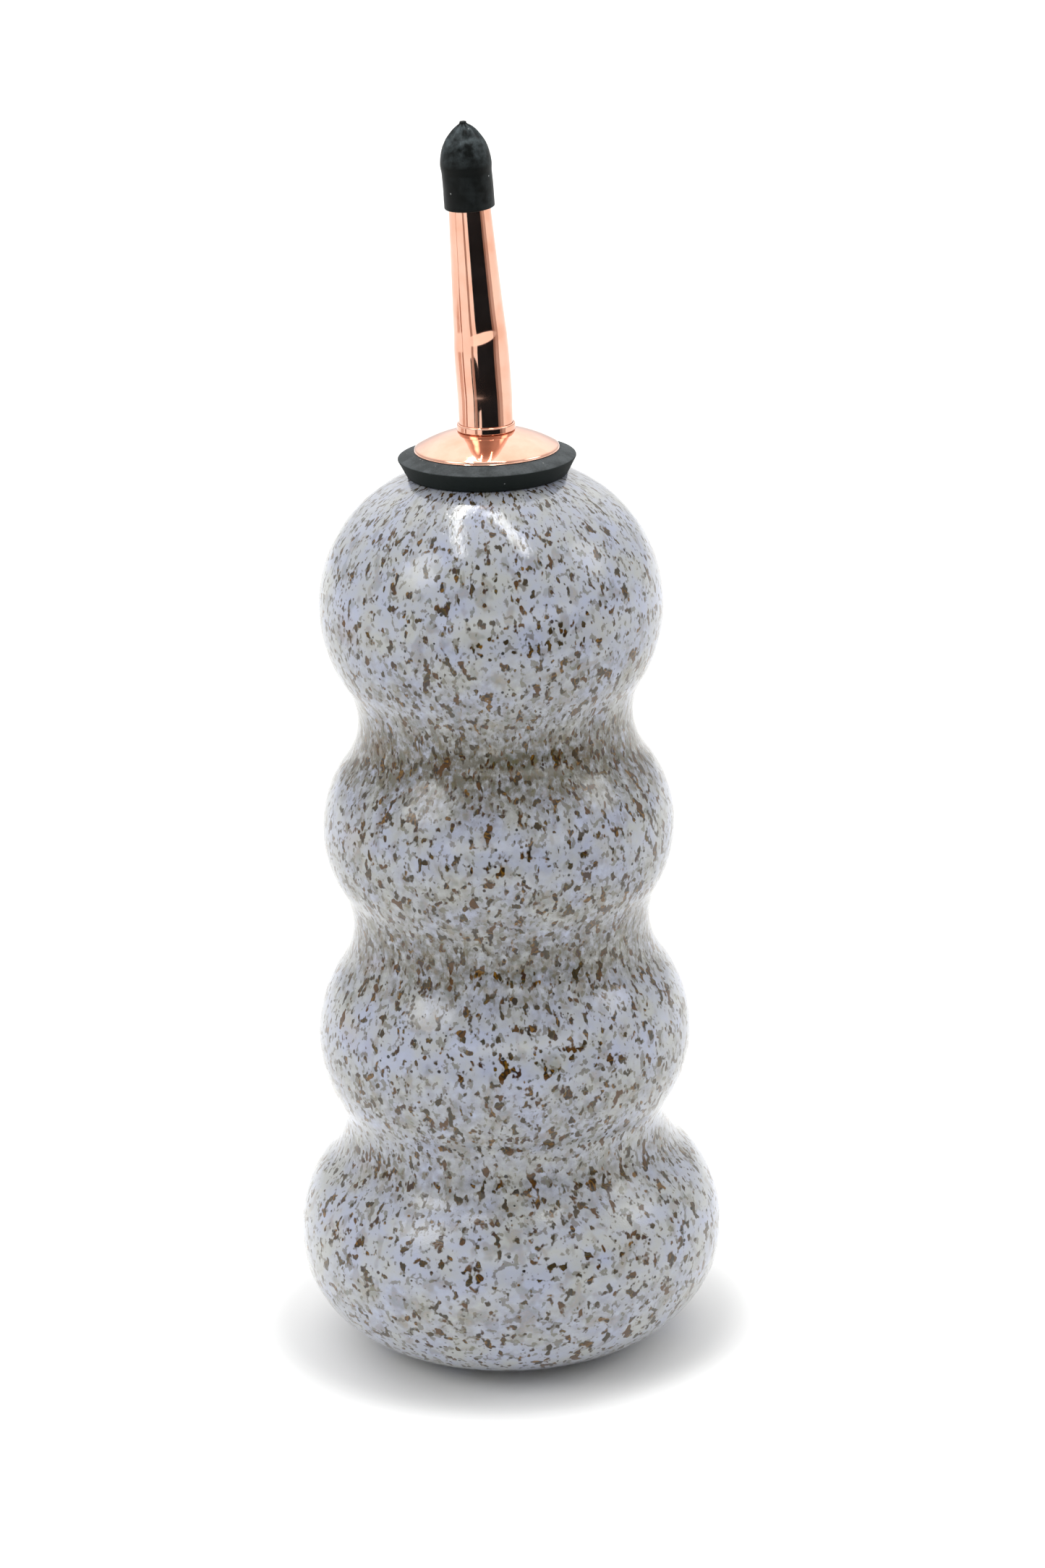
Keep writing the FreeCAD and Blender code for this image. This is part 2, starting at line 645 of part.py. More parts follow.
def make_breather():
    """A thin pipe up the back of the stem, with an elbow that ends in the spout's vent."""
    body = new_body("breather_tube")
    path = new_sketch(body, "breather_path")
    climb = f"{SPOUT_BASE} + Sizes.vent_height - Sizes.breather_elbow - {BREATHER_BASE}"
    reach = f"{VENT_REACH} - {BREATHER_OFFSET}"
    height, elbow, end = value(climb), value("Sizes.breather_elbow"), value(reach)
    run = add_line(path, (0, 0), (0, height))
    turn = add_arc(path, (elbow, height), elbow, math.pi / 2, math.pi)
    out = add_line(path, (elbow, height + elbow), (end, height + elbow))
    fix_point(path, run, START, "0", "0")
    fix_point(path, run, END, "0", climb)
    join(path, run, END, turn, END, smooth=True)
    join(path, turn, START, out, START, smooth=True)
    dimension(path, "Radius", turn, expression="Sizes.breather_elbow")
    path.addConstraint(Sketcher.Constraint("Horizontal", out))
    fix_point(path, out, END, reach, None)
    section = new_sketch(body, "breather_section", "XY_Plane")
    for radius in ("Sizes.breather_radius", "Sizes.breather_radius - Sizes.breather_wall"):
        circle = section.addGeometry(Part.Circle(FreeCAD.Vector(), AXIS_Z, value(radius)), False)
        join(section, circle, CENTRE, *ORIGIN_POINT)
        dimension(section, "Radius", circle, expression=radius)
    doc.recompute()
    pipe = body.newObject("PartDesign::AdditivePipe", "breather_pipe")
    pipe.Profile = (section, [""])
    pipe.Spine = (path, ["Edge1", "Edge2", "Edge3"])
    doc.recompute()
    # the vent looks away from the bend, so the breather's frame is the pourer's turned half round
    body.Placement = pourer_placement(BREATHER_BASE).multiply(at(turn=180)).multiply(
        at(x=value(BREATHER_OFFSET)))
    return body


# ---- the dust cap

def make_cap():
    """A bullet of rubber whose bore has the spout's own taper, built from its open end up."""
    inside = f"({TIP_RADIUS} + Sizes.cap_fit + {UPPER_TAPER} * Sizes.cap_overlap)"
    outside = f"({inside} + Sizes.cap_wall)"
    skirt = primitive(
        "Cone", "cap_skirt_solid",
        Radius1=outside, Radius2=f"{outside} - Sizes.cap_flare", Height="Sizes.cap_skirt")
    nose = primitive(
        "Ellipsoid", "cap_nose_solid", at(z=value("Sizes.cap_skirt")),
        Radius1="Sizes.cap_nose", Radius2=f"{outside} - Sizes.cap_flare",
        Radius3=f"{outside} - Sizes.cap_flare")
    nose.Angle1 = 0
    nub = primitive(
        "Cylinder", "cap_nub_solid", at(z=value("Sizes.cap_skirt")),
        Radius="Sizes.nub_radius", Height="Sizes.cap_nose + Sizes.nub_height")
    bore = primitive(
        "Cone", "cap_bore_solid", at(z=-OVERSHOOT),
        Radius1=f"{inside} + {UPPER_TAPER} * {OVERSHOOT}",
        Radius2=f"{inside} - {UPPER_TAPER} * Sizes.cap_bore_depth",
        Height=f"Sizes.cap_bore_depth + {OVERSHOOT}",
    )
    cap = cut("dust_cap", fused("cap_outside", skirt, nose, nub), bore)
    cap.Label = "dust_cap"
    cap.Placement = pourer_placement(SPOUT_BASE).multiply(along_spout(f"{SPOUT_RUN} - Sizes.cap_overlap"))
    return cap


def check(parts):
    doc.recompute()
    for thing in doc.Objects:
        if "Invalid" in thing.State or "Error" in thing.State:
            raise RuntimeError(f"{thing.Label} did not build: {thing.State}")
    for part in parts:
        if part.Shape.isNull() or not part.Shape.isValid() or len(part.Shape.Solids) != 1:
            raise RuntimeError(f"{part.Label} is not one valid solid")


parts = [
    make_bottle(),
    make_stopper(),
    make_dome(),
    make_ferrule(),
    make_spout(),
    make_stem(),
    make_breather(),
    make_cap(),
]
check(parts)
os.makedirs("parts", exist_ok=True)
for part in parts:
    part.Shape.exportStep(f"parts/{part.Label}.step")
    box = part.Shape.BoundBox
    print(f"{part.Label}: {part.Shape.Volume:.1f} mm3, z {box.ZMin:.2f} to {box.ZMax:.2f},"
          f" x {box.XMin:.2f} to {box.XMax:.2f}, y {box.YMin:.2f} to {box.YMax:.2f}")
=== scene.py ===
import math
import bpy
import numpy as np
from mathutils import Matrix, Vector


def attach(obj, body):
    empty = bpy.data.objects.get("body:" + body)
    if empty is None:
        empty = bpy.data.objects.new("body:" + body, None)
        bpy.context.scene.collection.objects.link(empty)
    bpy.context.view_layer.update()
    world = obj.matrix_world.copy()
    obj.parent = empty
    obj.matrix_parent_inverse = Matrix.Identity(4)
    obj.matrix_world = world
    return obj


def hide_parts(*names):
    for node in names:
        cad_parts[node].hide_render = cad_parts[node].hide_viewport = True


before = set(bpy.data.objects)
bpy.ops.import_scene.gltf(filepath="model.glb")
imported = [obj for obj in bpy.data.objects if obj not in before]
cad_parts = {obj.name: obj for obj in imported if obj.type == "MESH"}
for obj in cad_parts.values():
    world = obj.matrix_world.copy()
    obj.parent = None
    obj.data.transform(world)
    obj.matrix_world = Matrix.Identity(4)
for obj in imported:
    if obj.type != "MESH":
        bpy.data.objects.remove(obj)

bpy.context.view_layer.update()
mm = 0.001  # shapes are worked out in millimetres and put into meshes in metres
scene = bpy.context.scene
scene.view_settings.view_transform = "Standard"


# Puts a grid of points into a mesh: rows follow the profile, columns go round and close on themselves.
# Ends "poles" shrinks the first and last row to one point each, "loop" joins the last row to the first.
# Marks are values kept at the points; dropped cells are left out, and walls gives faces to add.
# The faces are turned round if the volume they enclose, a sixth of the sum of their triple products,
# comes out negative.
def gridPiece(name, points, ends, marks=(), dropped=None, walls=None):
    rows, columns = points.shape[:2]
    number = np.arange(rows * columns).reshape(rows, columns)
    if ends == "poles":
        number[0], number[-1] = number[0, 0], number[-1, 0]
        lower, upper = number[:-1], number[1:]
    else:
        lower, upper = number, np.roll(number, -1, axis=0)
    quads = np.stack([lower, np.roll(lower, -1, 1), np.roll(upper, -1, 1), upper], -1)
    quads = quads[np.ones(lower.shape, bool) if dropped is None else ~dropped]
    if walls is not None:
        quads = np.concatenate([quads, walls(number)])
    flat = points.reshape(-1, 3)
    a, b, c, d = (flat[quads[:, corner]] for corner in range(4))
    volume = (a * np.cross(b, c)).sum() + (a * np.cross(c, d)).sum()
    if volume < 0:
        quads = quads[:, ::-1]
    used, packed = np.unique(quads, return_inverse=True)
    quads = packed.reshape(quads.shape)
    firstPole, lastPole = quads[:, 0] == quads[:, 1], quads[:, 2] == quads[:, 3]
    faces = quads[~(firstPole | lastPole)].tolist()
    faces += quads[firstPole][:, 1:].tolist() + quads[lastPole][:, :3].tolist()
    mesh = bpy.data.meshes.new(name)
    mesh.from_pydata(flat[used] * mm, [], faces)
    mesh.polygons.foreach_set("use_smooth", np.ones(len(mesh.polygons), bool))
    for label, values in dict(marks).items():
        vector = values.ndim == 3
        mark = mesh.attributes.new(label, "FLOAT_VECTOR" if vector else "FLOAT", "POINT")
        chosen = values.reshape(rows * columns, -1)[used]
        mark.data.foreach_set("vector" if vector else "value", chosen.astype(np.float32).ravel())
    mesh.validate()
    piece = bpy.data.objects.new(name, mesh)
    scene.collection.objects.link(piece)
    print(f"{name}: {len(faces)} faces")
    return piece


# An arc: centre + radius * (cos turn, sin turn), its points no more than a step apart.
def arcRun(centre, radius, first, last, step):
    count = max(4, math.ceil(abs(last - first) * radius / step) + 1)
    turn = np.linspace(first, last, count)
    return np.stack([centre[0] + radius * np.cos(turn), centre[1] + radius * np.sin(turn)], -1)


# A straight run, start + t * (end - start), its points no more than a step apart.
def lineRun(start, end, step):
    return np.linspace(start, end, max(2, math.ceil(math.dist(start, end) / step) + 1))


# The part of a run between two distances along it, with new points at both ends.
def trimmedRun(run, fromStart, fromEnd):
    reach = np.concatenate([[0.0], np.cumsum(np.hypot(*np.diff(run, axis=0).T))])
    last = reach[-1] - fromEnd
    stops = reach[(reach > fromStart + 1e-6) & (reach < last - 1e-6)]
    stops = np.concatenate([[fromStart], stops, [last]])
    return np.stack([np.interp(stops, reach, run[:, axis]) for axis in (0, 1)], -1)


# Runs joined end to end. Each joint is eased: both runs stop short of it, and a quadratic curve
# (1-t)^2 * stop + 2t(1-t) * joint + t^2 * nextStop joins them. The last joint closes the loop if asked.
def easedProfile(runs, easings, closed=False):
    parts = []
    t = np.linspace(0, 1, 7)[1:-1, None]
    last = len(runs) - 1
    for k, run in enumerate(runs):
        before = easings[k - 1] if closed or k > 0 else 0.0
        after = easings[k] if closed or k < last else 0.0
        body = trimmedRun(run, before, after)
        follows = runs[(k + 1) % len(runs)]
        if after > 0:
            stop = trimmedRun(follows, after, 0.0)[0]
            parts += [body, (1 - t) ** 2 * body[-1] + 2 * t * (1 - t) * run[-1] + t ** 2 * stop]
        else:
            parts.append(body[:-1] if closed or k < last else body)
    return np.concatenate(parts)


# A closed outline through corners (radius, height, easing).
def cornerOutline(corners, step):
    spots = [corner[:2] for corner in corners]
    runs = [lineRun(spots[k - 1], spots[k], step) for k in range(len(spots))]
    return easedProfile(runs, [corner[2] for corner in corners], closed=True)


# The angles of the columns round an axis.
def roundTurn(columns):
    return np.arange(columns) * (2 * math.pi / columns)


# Turns a profile round the axis: (radius cos turn, radius sin turn, height).
def turned(profile, columns):
    turn = roundTurn(columns)
    radius, height = profile[:, :1], profile[:, 1:]
    return np.stack([radius * np.cos(turn), radius * np.sin(turn), height + 0 * turn], -1)


# Smooth step: 0 before start, 1 after end, 3u^2 - 2u^3 between.
def smoothStep(start, end, x):
    u = np.clip((x - start) / (end - start), 0, 1)
    return u * u * (3 - 2 * u)


# Bell curve: exp(-((x - middle) / width)^2).
def bell(x, middle, width):
    return np.exp(-((x - middle) / width) ** 2)


# sRGB hex to linear: c / 12.92 up to 0.04045, ((c + 0.055) / 1.055)^2.4 above.
def hexToLinear(colour):
    shares = [int(colour[k:k + 2], 16) / 255 for k in (1, 3, 5)]
    return [c / 12.92 if c <= 0.04045 else ((c + 0.055) / 1.055) ** 2.4 for c in shares] + [1.0]


# Adds one node: settings are its properties, inputs by name or number, and colour stops;
# links give for an input the node, or the node's output, that feeds it.
def addNode(tree, kind, settings=(), links=()):
    node = tree.nodes.new("ShaderNode" + kind)
    for key, setting in dict(settings).items():
        if key == "stops":
            stops = node.color_ramp.elements
            stops.remove(stops[1])
            stops[0].position, stops[0].color = setting[0][0], hexToLinear(setting[0][1])
            for place, colour in setting[1:]:
                stops.new(place).color = hexToLinear(colour)
        elif key == "interpolation":
            node.color_ramp.interpolation = setting
        elif isinstance(key, str) and hasattr(node, key):
            setattr(node, key, setting)
        else:
            node.inputs[key].default_value = setting
    for key, source in dict(links).items():
        tree.links.new(source if hasattr(source, "is_linked") else source.outputs[0], node.inputs[key])
    return node


# A material with an empty node tree; its slot colour is what plain viewports show.
def newMaterial(name, slotColour):
    material = bpy.data.materials.new(name)
    material.use_nodes = True
    material.diffuse_color = hexToLinear(slotColour)
    tree = material.node_tree
    tree.nodes.clear()
    return material, tree


# The bottle, in mm. Each bulb is the height of its middle, its radius, and the radius of its arc.
bottle = {
    "bulbs": [(21.10, 39.6, 20.4), (59.8, 34.6, 24.0), (99.9, 32.4, 21.1), (141.5, 31.2, 25.7)],
    "waists": [30.3, 27.5, 25.2],
    "wall": 4.5,
    "foot": (21.0, 0.78, 4.5, 1.8),  # radius, height, ring width, recess
    "floor": (7.3, 6.0),  # height of the floor inside, rounding to the wall
    "mouth": (14.15, 10.3, 7.5, 15.5),  # land radius, bore radius, bore depth, throat radius
    "rim": 165.7,
    "easings": [0.4, 0.3, 0.3, 0.3, 0.8, 0.8, 1.0, 1.5, 0, 0],  # of its corners, recess to floor
    "outerStep": 0.8, "innerStep": 3.4, "columns": 240,
    "wobble": 0.16,  # how far the thrown wall strays from round
    "waves": [(0.5, 2, 23, 0.6), (0.35, 3, -15, 2.1), (0.25, 5, 8.5, 0)],  # share, count, rise, start
    "roundFoot": (2, 14), "roundMouth": (164.5, 150),  # heights where the wobble fades out
    "drift": (-0.35, 43.2, 8.0),  # the lowest waist sits a little to one side
    "flowRadius": 32.0,  # radius at which the glaze's pattern is laid round the wall
    "bareBelow": (0.55, 0.3), "bareOutside": (15.5, 16.5),  # height and radius of the wiped ring
    # where glaze gathers, with painted shade in the waists and under the bulbs: height, reach and how much
    "poolsAndShade": [(133, 8, 0.45), (118, 8, 1.25), (95, 7, 0.45), (82, 8, 0.95), (54, 8, 0.5), (41, 6, 0.5),
              (17, 7, 0.4)],
}


# The circle that touches two bulbs and comes in to the narrow radius, as in the CAD model: equal slack
# against both bulbs gives a quadratic for its height above the lower one.
def waistCircle(low, high, narrow):
    slackLow, slackHigh = low[2] + low[0] - narrow, high[2] + high[0] - narrow
    spanLow = low[2] ** 2 - (narrow - low[0]) ** 2
    spanHigh = high[2] ** 2 - (narrow - high[0]) ** 2
    rise = high[1] - low[1]
    a, b = slackHigh - slackLow, 2 * slackLow * rise
    c = slackLow * (spanHigh - rise ** 2) - slackHigh * spanLow
    climb = -2 * c / (b + math.sqrt(b * b - 4 * a * c))
    radius = (climb ** 2 - spanLow) / (2 * slackLow)
    return narrow + radius, low[1] + climb, radius


# The chain of bulb and waist arcs, inset from the outside, from angle first to angle last.
def wallRun(inset, first, last, step):
    bulbs = [(r - q, z, q - inset) for z, r, q in bottle["bulbs"]]
    waists = [
        waistCircle(low, high, narrow - inset)
        for low, high, narrow in zip(bulbs, bulbs[1:], bottle["waists"])
    ]
    parts = []
    for k, bulb in enumerate(bulbs):
        below = waists[k - 1] if k else None
        above = waists[k] if k < len(waists) else None
        begin = math.atan2(below[1] - bulb[1], below[0] - bulb[0]) if below else first
        stop = math.atan2(above[1] - bulb[1], above[0] - bulb[0]) if above else last
        parts.append(arcRun(bulb[:2], bulb[2], begin, stop, step)[:-1 if above else None])
        if above:
            following = bulbs[k + 1]
            down = math.atan2(bulb[1] - above[1], bulb[0] - above[0]) + 2 * math.pi
            up = math.atan2(following[1] - above[1], following[0] - above[0])
            up += 2 * math.pi if up < 0 else 0
            parts.append(arcRun(above[:2], above[2], down, up, step)[:-1])
    return np.concatenate(parts)


# Half the outline as arcs and lines: from the middle underneath, over the foot, up the outside, down
# through the mouth, and down the inside to the middle of the floor.
def bottleProfile():
    size = bottle
    footRadius, footHeight, footWidth, recess = size["foot"]
    land, bore, depth, throat = size["mouth"]
    floor, corner = size["floor"]
    baseZ, baseR, baseQ = size["bulbs"][0]
    crownZ, crownR, crownQ = size["bulbs"][-1]
    baseX, crownX, wall, rim = baseR - baseQ, crownR - crownQ, size["wall"], size["rim"]
    outer = wallRun(
        0, math.atan2(footHeight - baseZ, footRadius - baseX),
        math.atan2(rim - crownZ, land - crownX), size["outerStep"])
    cornerZ = floor + corner
    cornerX = baseX + math.sqrt((baseQ - wall - corner) ** 2 - (baseZ - cornerZ) ** 2)
    cornerTurn = math.atan2(cornerZ - baseZ, cornerX - baseX)
    throatZ = crownZ + math.sqrt((crownQ - wall) ** 2 - (throat - crownX) ** 2)
    inner = wallRun(
        wall, cornerTurn, math.atan2(throatZ - crownZ, throat - crownX), size["innerStep"])
    floorArc = arcRun((cornerX, cornerZ), corner, -math.pi / 2, cornerTurn, size["innerStep"])
    ringInside = footRadius - footWidth
    runs = [
        lineRun((0, recess), (ringInside, recess), 3),
        lineRun((ringInside, recess), (ringInside, 0), 1),
        lineRun((ringInside, 0), (footRadius, 0), 1),
        lineRun((footRadius, 0), (footRadius, footHeight), 1),
        outer,
        lineRun(outer[-1], (bore, rim), 1),
        lineRun((bore, rim), (bore, rim - depth), 1.5),
        lineRun((bore, rim - depth), inner[-1], 2),
        inner[::-1],
        floorArc[::-1],
        lineRun((cornerX, floor), (0, floor), 3.5),
    ]
    return easedProfile(runs, size["easings"])


# The outline turned round the axis, then moved outward by wobble times a sum of slow waves,
# share * sin(count * turn + height / rise + start), faded out at foot and mouth.
def makeBottle():
    profile = bottleProfile()
    points = turned(profile, bottle["columns"])
    turn = roundTurn(bottle["columns"])
    height = points[..., 2]
    wave = sum(
        share * np.sin(count * turn + height / rise + start)
        for share, count, rise, start in bottle["waves"])
    held = smoothStep(*bottle["roundFoot"], height) * smoothStep(*bottle["roundMouth"], height)
    outward = np.stack([np.cos(turn) + 0 * height, np.sin(turn) + 0 * height, 0 * height], -1)
    points += outward * (bottle["wobble"] * wave * held)[..., None]
    shift, middle, reach = bottle["drift"]
    points[..., 0] += shift * bell(height, middle, reach)
    along = np.concatenate([[0.0], np.cumsum(np.hypot(*np.diff(profile, axis=0).T))])
    flow = outward * bottle["flowRadius"]
    flow[..., 2] = along[:, None]
    # where fluid glaze gathers its iron: the shoulder under each waist; partly also painted shade,
    # in the waists and under the bulbs
    poolingAndShade = sum(share * bell(height, middle, reach) for middle, reach, share in bottle["poolsAndShade"])
    # the ring it stands on is wiped bare of glaze before firing
    radius = np.hypot(points[..., 0], points[..., 1])
    bare = smoothStep(*bottle["bareBelow"], height) * smoothStep(*bottle["bareOutside"], radius)
    marks = {"glazeFlow": flow, "glazePooling": poolingAndShade, "bareClay": bare}
    return gridPiece("stonewareBottle", points, "poles", marks)


# Stoneware under a milky, fluid glaze fired in reduction. Iron from the clay bleeds through as soft-edged
# rust, amber and olive specks, crowded under each waist, with a few burnt black dots. In the waists and
# under the bulbs the ground is darker and browner, partly pooled glaze and partly painted shade. The eye
# gets a glassy, slightly rippled skin over a mottled, grainy ground.
glaze = {
    "cool": "#A3A9BD", "warm": "#A9ABAA", "pooledAndShaded": "#646158",
    "cloud": 6.0, "veil": 1.6,  # mottling of the ground, in mm
    "tintPatch": 1.8182,  # specks within this many mm share a tint
    "poolAndShadeTint": 0.62,
    "clay": ("#7F6650", "#9A7E62"), "grog": 0.45455, "clayRoughness": 0.85,
    "roughness": 0.3, "coat": 1.0, "coatRoughness": 0.05, "ior": 1.5, "underShine": 0.08,
    # relief in mm: size of the orange peel, of the fine ripple on it, and their depth
    "peel": 2.38095, "rippleSize": 0.27778, "relief": 0.06, "pitDepth": 0.6,
    "ripple": 0.2, "dryRipple": 0.65, "dryBelow": (30, 50),  # ripple's share; heights in mm
    # specks: grain in mm, stretch along the flow, threshold at which one shows, edge softness, strength,
    # how much more shows where glaze pools and painted shade lies, and colours from the common to the rare
    "specks": [
        dict(grain=3.0, stretch=1.3, start=0.56, soft=0.10, strength=0.36, pool=0.07,
             colours=["#66604A", "#75623A", "#665A50", "#5A5D4C"]),
        dict(grain=1.1, stretch=1.2, start=0.571, soft=0.07, strength=0.62, pool=0.03,
             colours=["#50513F", "#5A4C30", "#4A4030", "#5A5434"]),
        dict(grain=1.5, stretch=1.3, start=0.589, soft=0.07, strength=1.0, pool=0.03,
             colours=["#322817", "#3A2D12", "#272820", "#48330E", "#2E3026", "#5A430A", "#362316"]),
        dict(grain=1.95, stretch=1.25, start=0.621, soft=0.055, strength=1.0, pool=0.03,
             colours=["#261B0C", "#6E4B04", "#1E1A12", "#4C300A"]),
    ],
    # burnt dots: spacing and size in mm, edge softness, strength, share of places that hold one
    "dots": dict(spacing=2.2, size=0.46, soft=0.12, strength=0.97, share=0.55,
                 colours=["#14100E", "#23231F", "#2A1A10"]),
}


# The ground is mixed first, then each layer of specks shows where its noise passes a threshold.
def makeGlaze():
    material, tree = newMaterial("milkyIronSpeckGlaze", "#CBCFD8")
    flow = addNode(tree, "Attribute", {"attribute_name": "glazeFlow"}).outputs["Vector"]
    poolingAndShade = addNode(tree, "Attribute", {"attribute_name": "glazePooling"}).outputs["Fac"]
    bare = addNode(tree, "Attribute", {"attribute_name": "bareClay"}).outputs["Fac"]
    # soft clouds between a lavender-cool and a warm white, then a finer veil of the same
    clouds = addNode(
        tree, "TexNoise", {"Scale": 1 / glaze["cloud"], "Detail": 4.0, "Roughness": 0.6}, {"Vector": flow})
    cloudShare = addNode(
        tree, "MapRange", {"From Min": 0.36, "From Max": 0.64}, {"Value": clouds.outputs["Fac"]})
    ground = addNode(
        tree, "Mix", {"data_type": "RGBA", 6: hexToLinear(glaze["warm"]), 7: hexToLinear(glaze["cool"])},
        {0: cloudShare}).outputs[2]
    veil = addNode(
        tree, "TexNoise", {"Scale": 1 / glaze["veil"], "Detail": 4.0, "Roughness": 0.6}, {"Vector": flow})
    # pooled glaze is darker and browner, in drifts as uneven as the veil; in part this is painted shade
    drifts = addNode(
        tree, "MapRange",
        {"From Min": 0.3, "From Max": 0.7, "To Min": 0.0, "To Max": 2 * glaze["poolAndShadeTint"]},
        {"Value": veil.outputs["Fac"]})
    pooledAndShaded = addNode(
        tree, "Math", {"operation": "MULTIPLY", "use_clamp": True}, {0: poolingAndShade, 1: drifts})
    ground = addNode(
        tree, "Mix", {"data_type": "RGBA", 7: hexToLinear(glaze["pooledAndShaded"])},
        {0: pooledAndShaded, 6: ground}).outputs[2]
    # which tint a speck has changes over a few millimetres
    tints = addNode(
        tree, "TexNoise", {"Scale": 1 / glaze["tintPatch"], "Detail": 1.0},
        {"Vector": flow}).outputs["Color"]
    tintParts = addNode(tree, "SeparateColor", links={0: tints})
    for k, layer in enumerate(glaze["specks"]):
        drawn = addNode(
            tree, "Mapping",
            {"Location": (7.3 * k, 3.1 * k, 5.7 * k), "Scale": (1, 1, 1 / layer["stretch"])},
            {"Vector": flow})
        iron = addNode(
            tree, "TexNoise",
            {"Scale": 1 / layer["grain"], "Detail": 1.8, "Roughness": 0.5, "Distortion": 0.1},
            {"Vector": drawn})
        richer = addNode(
            tree, "Math", {"operation": "MULTIPLY_ADD", 1: layer["pool"]},
            {0: poolingAndShade, 2: iron.outputs["Fac"]})
        share = addNode(
            tree, "MapRange",
            {"interpolation_type": "SMOOTHSTEP", "From Min": layer["start"],
             "From Max": layer["start"] + layer["soft"], "To Max": layer["strength"]},
            {"Value": richer})
        count = len(layer["colours"])
        tint = addNode(
            tree, "ValToRGB",
            {"stops": [(0.36 + 0.28 * j / count, colour) for j, colour in enumerate(layer["colours"])]},
            {"Fac": tintParts.outputs[k % 3]})
        ground = addNode(
            tree, "Mix", {"data_type": "RGBA"}, {0: share, 6: ground, 7: tint}).outputs[2]
    dots = glaze["dots"]
    wide = 1 / dots["spacing"]
    spread = addNode(tree, "Mapping", {"Scale": (wide, wide, wide)}, {"Vector": flow})
    cells = addNode(tree, "TexVoronoi", {"Scale": 1.0}, {"Vector": spread})
    chance = addNode(tree, "SeparateColor", links={0: cells.outputs["Color"]})
    # each dot's radius, as a share of the spacing, grows with its own chance
    reach = addNode(
        tree, "Math",
        {"operation": "MULTIPLY_ADD", 1: 0.5 * dots["size"] * wide, 2: 0.4 * dots["size"] * wide},
        {0: chance.outputs[0]})
    inside = addNode(tree, "Math", {"operation": "SUBTRACT"}, {0: reach, 1: cells.outputs["Distance"]})
    edge = addNode(
        tree, "MapRange", {"From Max": dots["soft"] * wide, "To Max": dots["strength"]},
        {"Value": inside})
    present = addNode(
        tree, "Math", {"operation": "LESS_THAN", 1: dots["share"]}, {0: chance.outputs[1]})
    pits = addNode(tree, "Math", {"operation": "MULTIPLY"}, {0: edge, 1: present})
    burnt = addNode(
        tree, "ValToRGB",
        {"stops": [(j / 3, colour) for j, colour in enumerate(dots["colours"])],
         "interpolation": "CONSTANT"},
        {"Fac": chance.outputs[2]})
    ground = addNode(tree, "Mix", {"data_type": "RGBA"}, {0: pits, 6: ground, 7: burnt}).outputs[2]
    # unglazed foot ring: toasted clay with fine grog
    grog = addNode(tree, "TexNoise", {"Scale": 1 / glaze["grog"], "Detail": 5.0}, {"Vector": flow})
    clay = addNode(
        tree, "ValToRGB", {"stops": [*zip((0.35, 0.65), glaze["clay"])]}, {"Fac": grog.outputs["Fac"]})
    colour = addNode(tree, "Mix", {"data_type": "RGBA"}, {0: bare, 6: ground, 7: clay}).outputs[2]
    rough = addNode(
        tree, "MapRange", {"To Min": glaze["roughness"], "To Max": glaze["clayRoughness"]},
        {"Value": bare})
    # orange peel, a fine ripple on it, and pinholes sunk where the burnt dots are
    peel = addNode(tree, "TexNoise", {"Scale": 1 / glaze["peel"], "Detail": 2.0}, {"Vector": flow})
    ripple = addNode(
        tree, "TexNoise", {"Scale": 1 / glaze["rippleSize"], "Detail": 2.0}, {"Vector": flow})
    # the lowest bulb is drier, and its ripple is deeper
    place = addNode(tree, "TexCoord").outputs["Object"]
    height = addNode(tree, "SeparateXYZ", links={0: place}).outputs[2]
    low, high = glaze["dryBelow"]
    ripples = addNode(
        tree, "MapRange",
        {"interpolation_type": "SMOOTHSTEP", "From Min": low * mm, "From Max": high * mm,
         "To Min": glaze["dryRipple"], "To Max": glaze["ripple"]},
        {"Value": height})
    relief = addNode(
        tree, "Math", {"operation": "MULTIPLY_ADD"},
        {0: ripple.outputs["Fac"], 1: ripples, 2: peel.outputs["Fac"]})
    relief = addNode(
        tree, "Math", {"operation": "MULTIPLY_ADD", 1: -glaze["pitDepth"]}, {0: pits, 2: relief})
    bump = addNode(
        tree, "Bump", {"Strength": 1.0, "Distance": glaze["relief"] * mm}, {"Height": relief})
    shader = addNode(
        tree, "BsdfPrincipled",
        {"IOR": glaze["ior"], "Specular IOR Level": glaze["underShine"],
         "Coat Weight": glaze["coat"], "Coat Roughness": glaze["coatRoughness"]},
        {"Base Color": colour, "Roughness": rough, "Normal": bump, "Coat Normal": bump})
    addNode(tree, "OutputMaterial", links={"Surface": shader})
    return material


glazeMaterial = makeGlaze()
bottlePiece = makeBottle()
bottlePiece.data.materials.append(glazeMaterial)
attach(bottlePiece, "bottle")
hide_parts("bottle_body")
print("bottle made")


# The stopper, moulded in one: a collar that sits in the mouth, and a finned plug below it. In mm.
stopper = {
    "bore": 4.22, "plugRadius": 7.6, "plugBase": 145.7, "seat": (14.35, 165.7), "crease": (16.12, 168.9),
    "shelf": (13.2, 170.1), "finStart": 4.6, "finPitch": 3.8, "fins": 4, "finRadius": 10.2,
    "finRise": 1.6, "finEdge": 0.8, "finBack": 0.5, "columns": 160, "step": 0.8,
    "sag": 0.06,  # how far moulded rubber strays from round
    "lumps": [(1.0, 2, 0.4), (0.6, 5, 1.3), (0.4, 9, 0)],  # share, count round, start
    "sagAbove": (165.9, 168.5), "sagOutside": (12.5, 15), "sagRadius": 16,
    # matt with a fine blasted grain: sizes and relief in mm, and the upward slant where dust settles and
    # painted top light shows
    "rubber": {
        "name": "mouldedBlackRubber", "dark": "#121918", "dust": "#585D5F", "shine": 0.2, "rough": 0.7,
        "blotch": 3.0, "grain": 0.35, "relief": 0.02, "dustFrom": 0.2, "dustTo": 0.9, "thin": 0.5,
    },
}


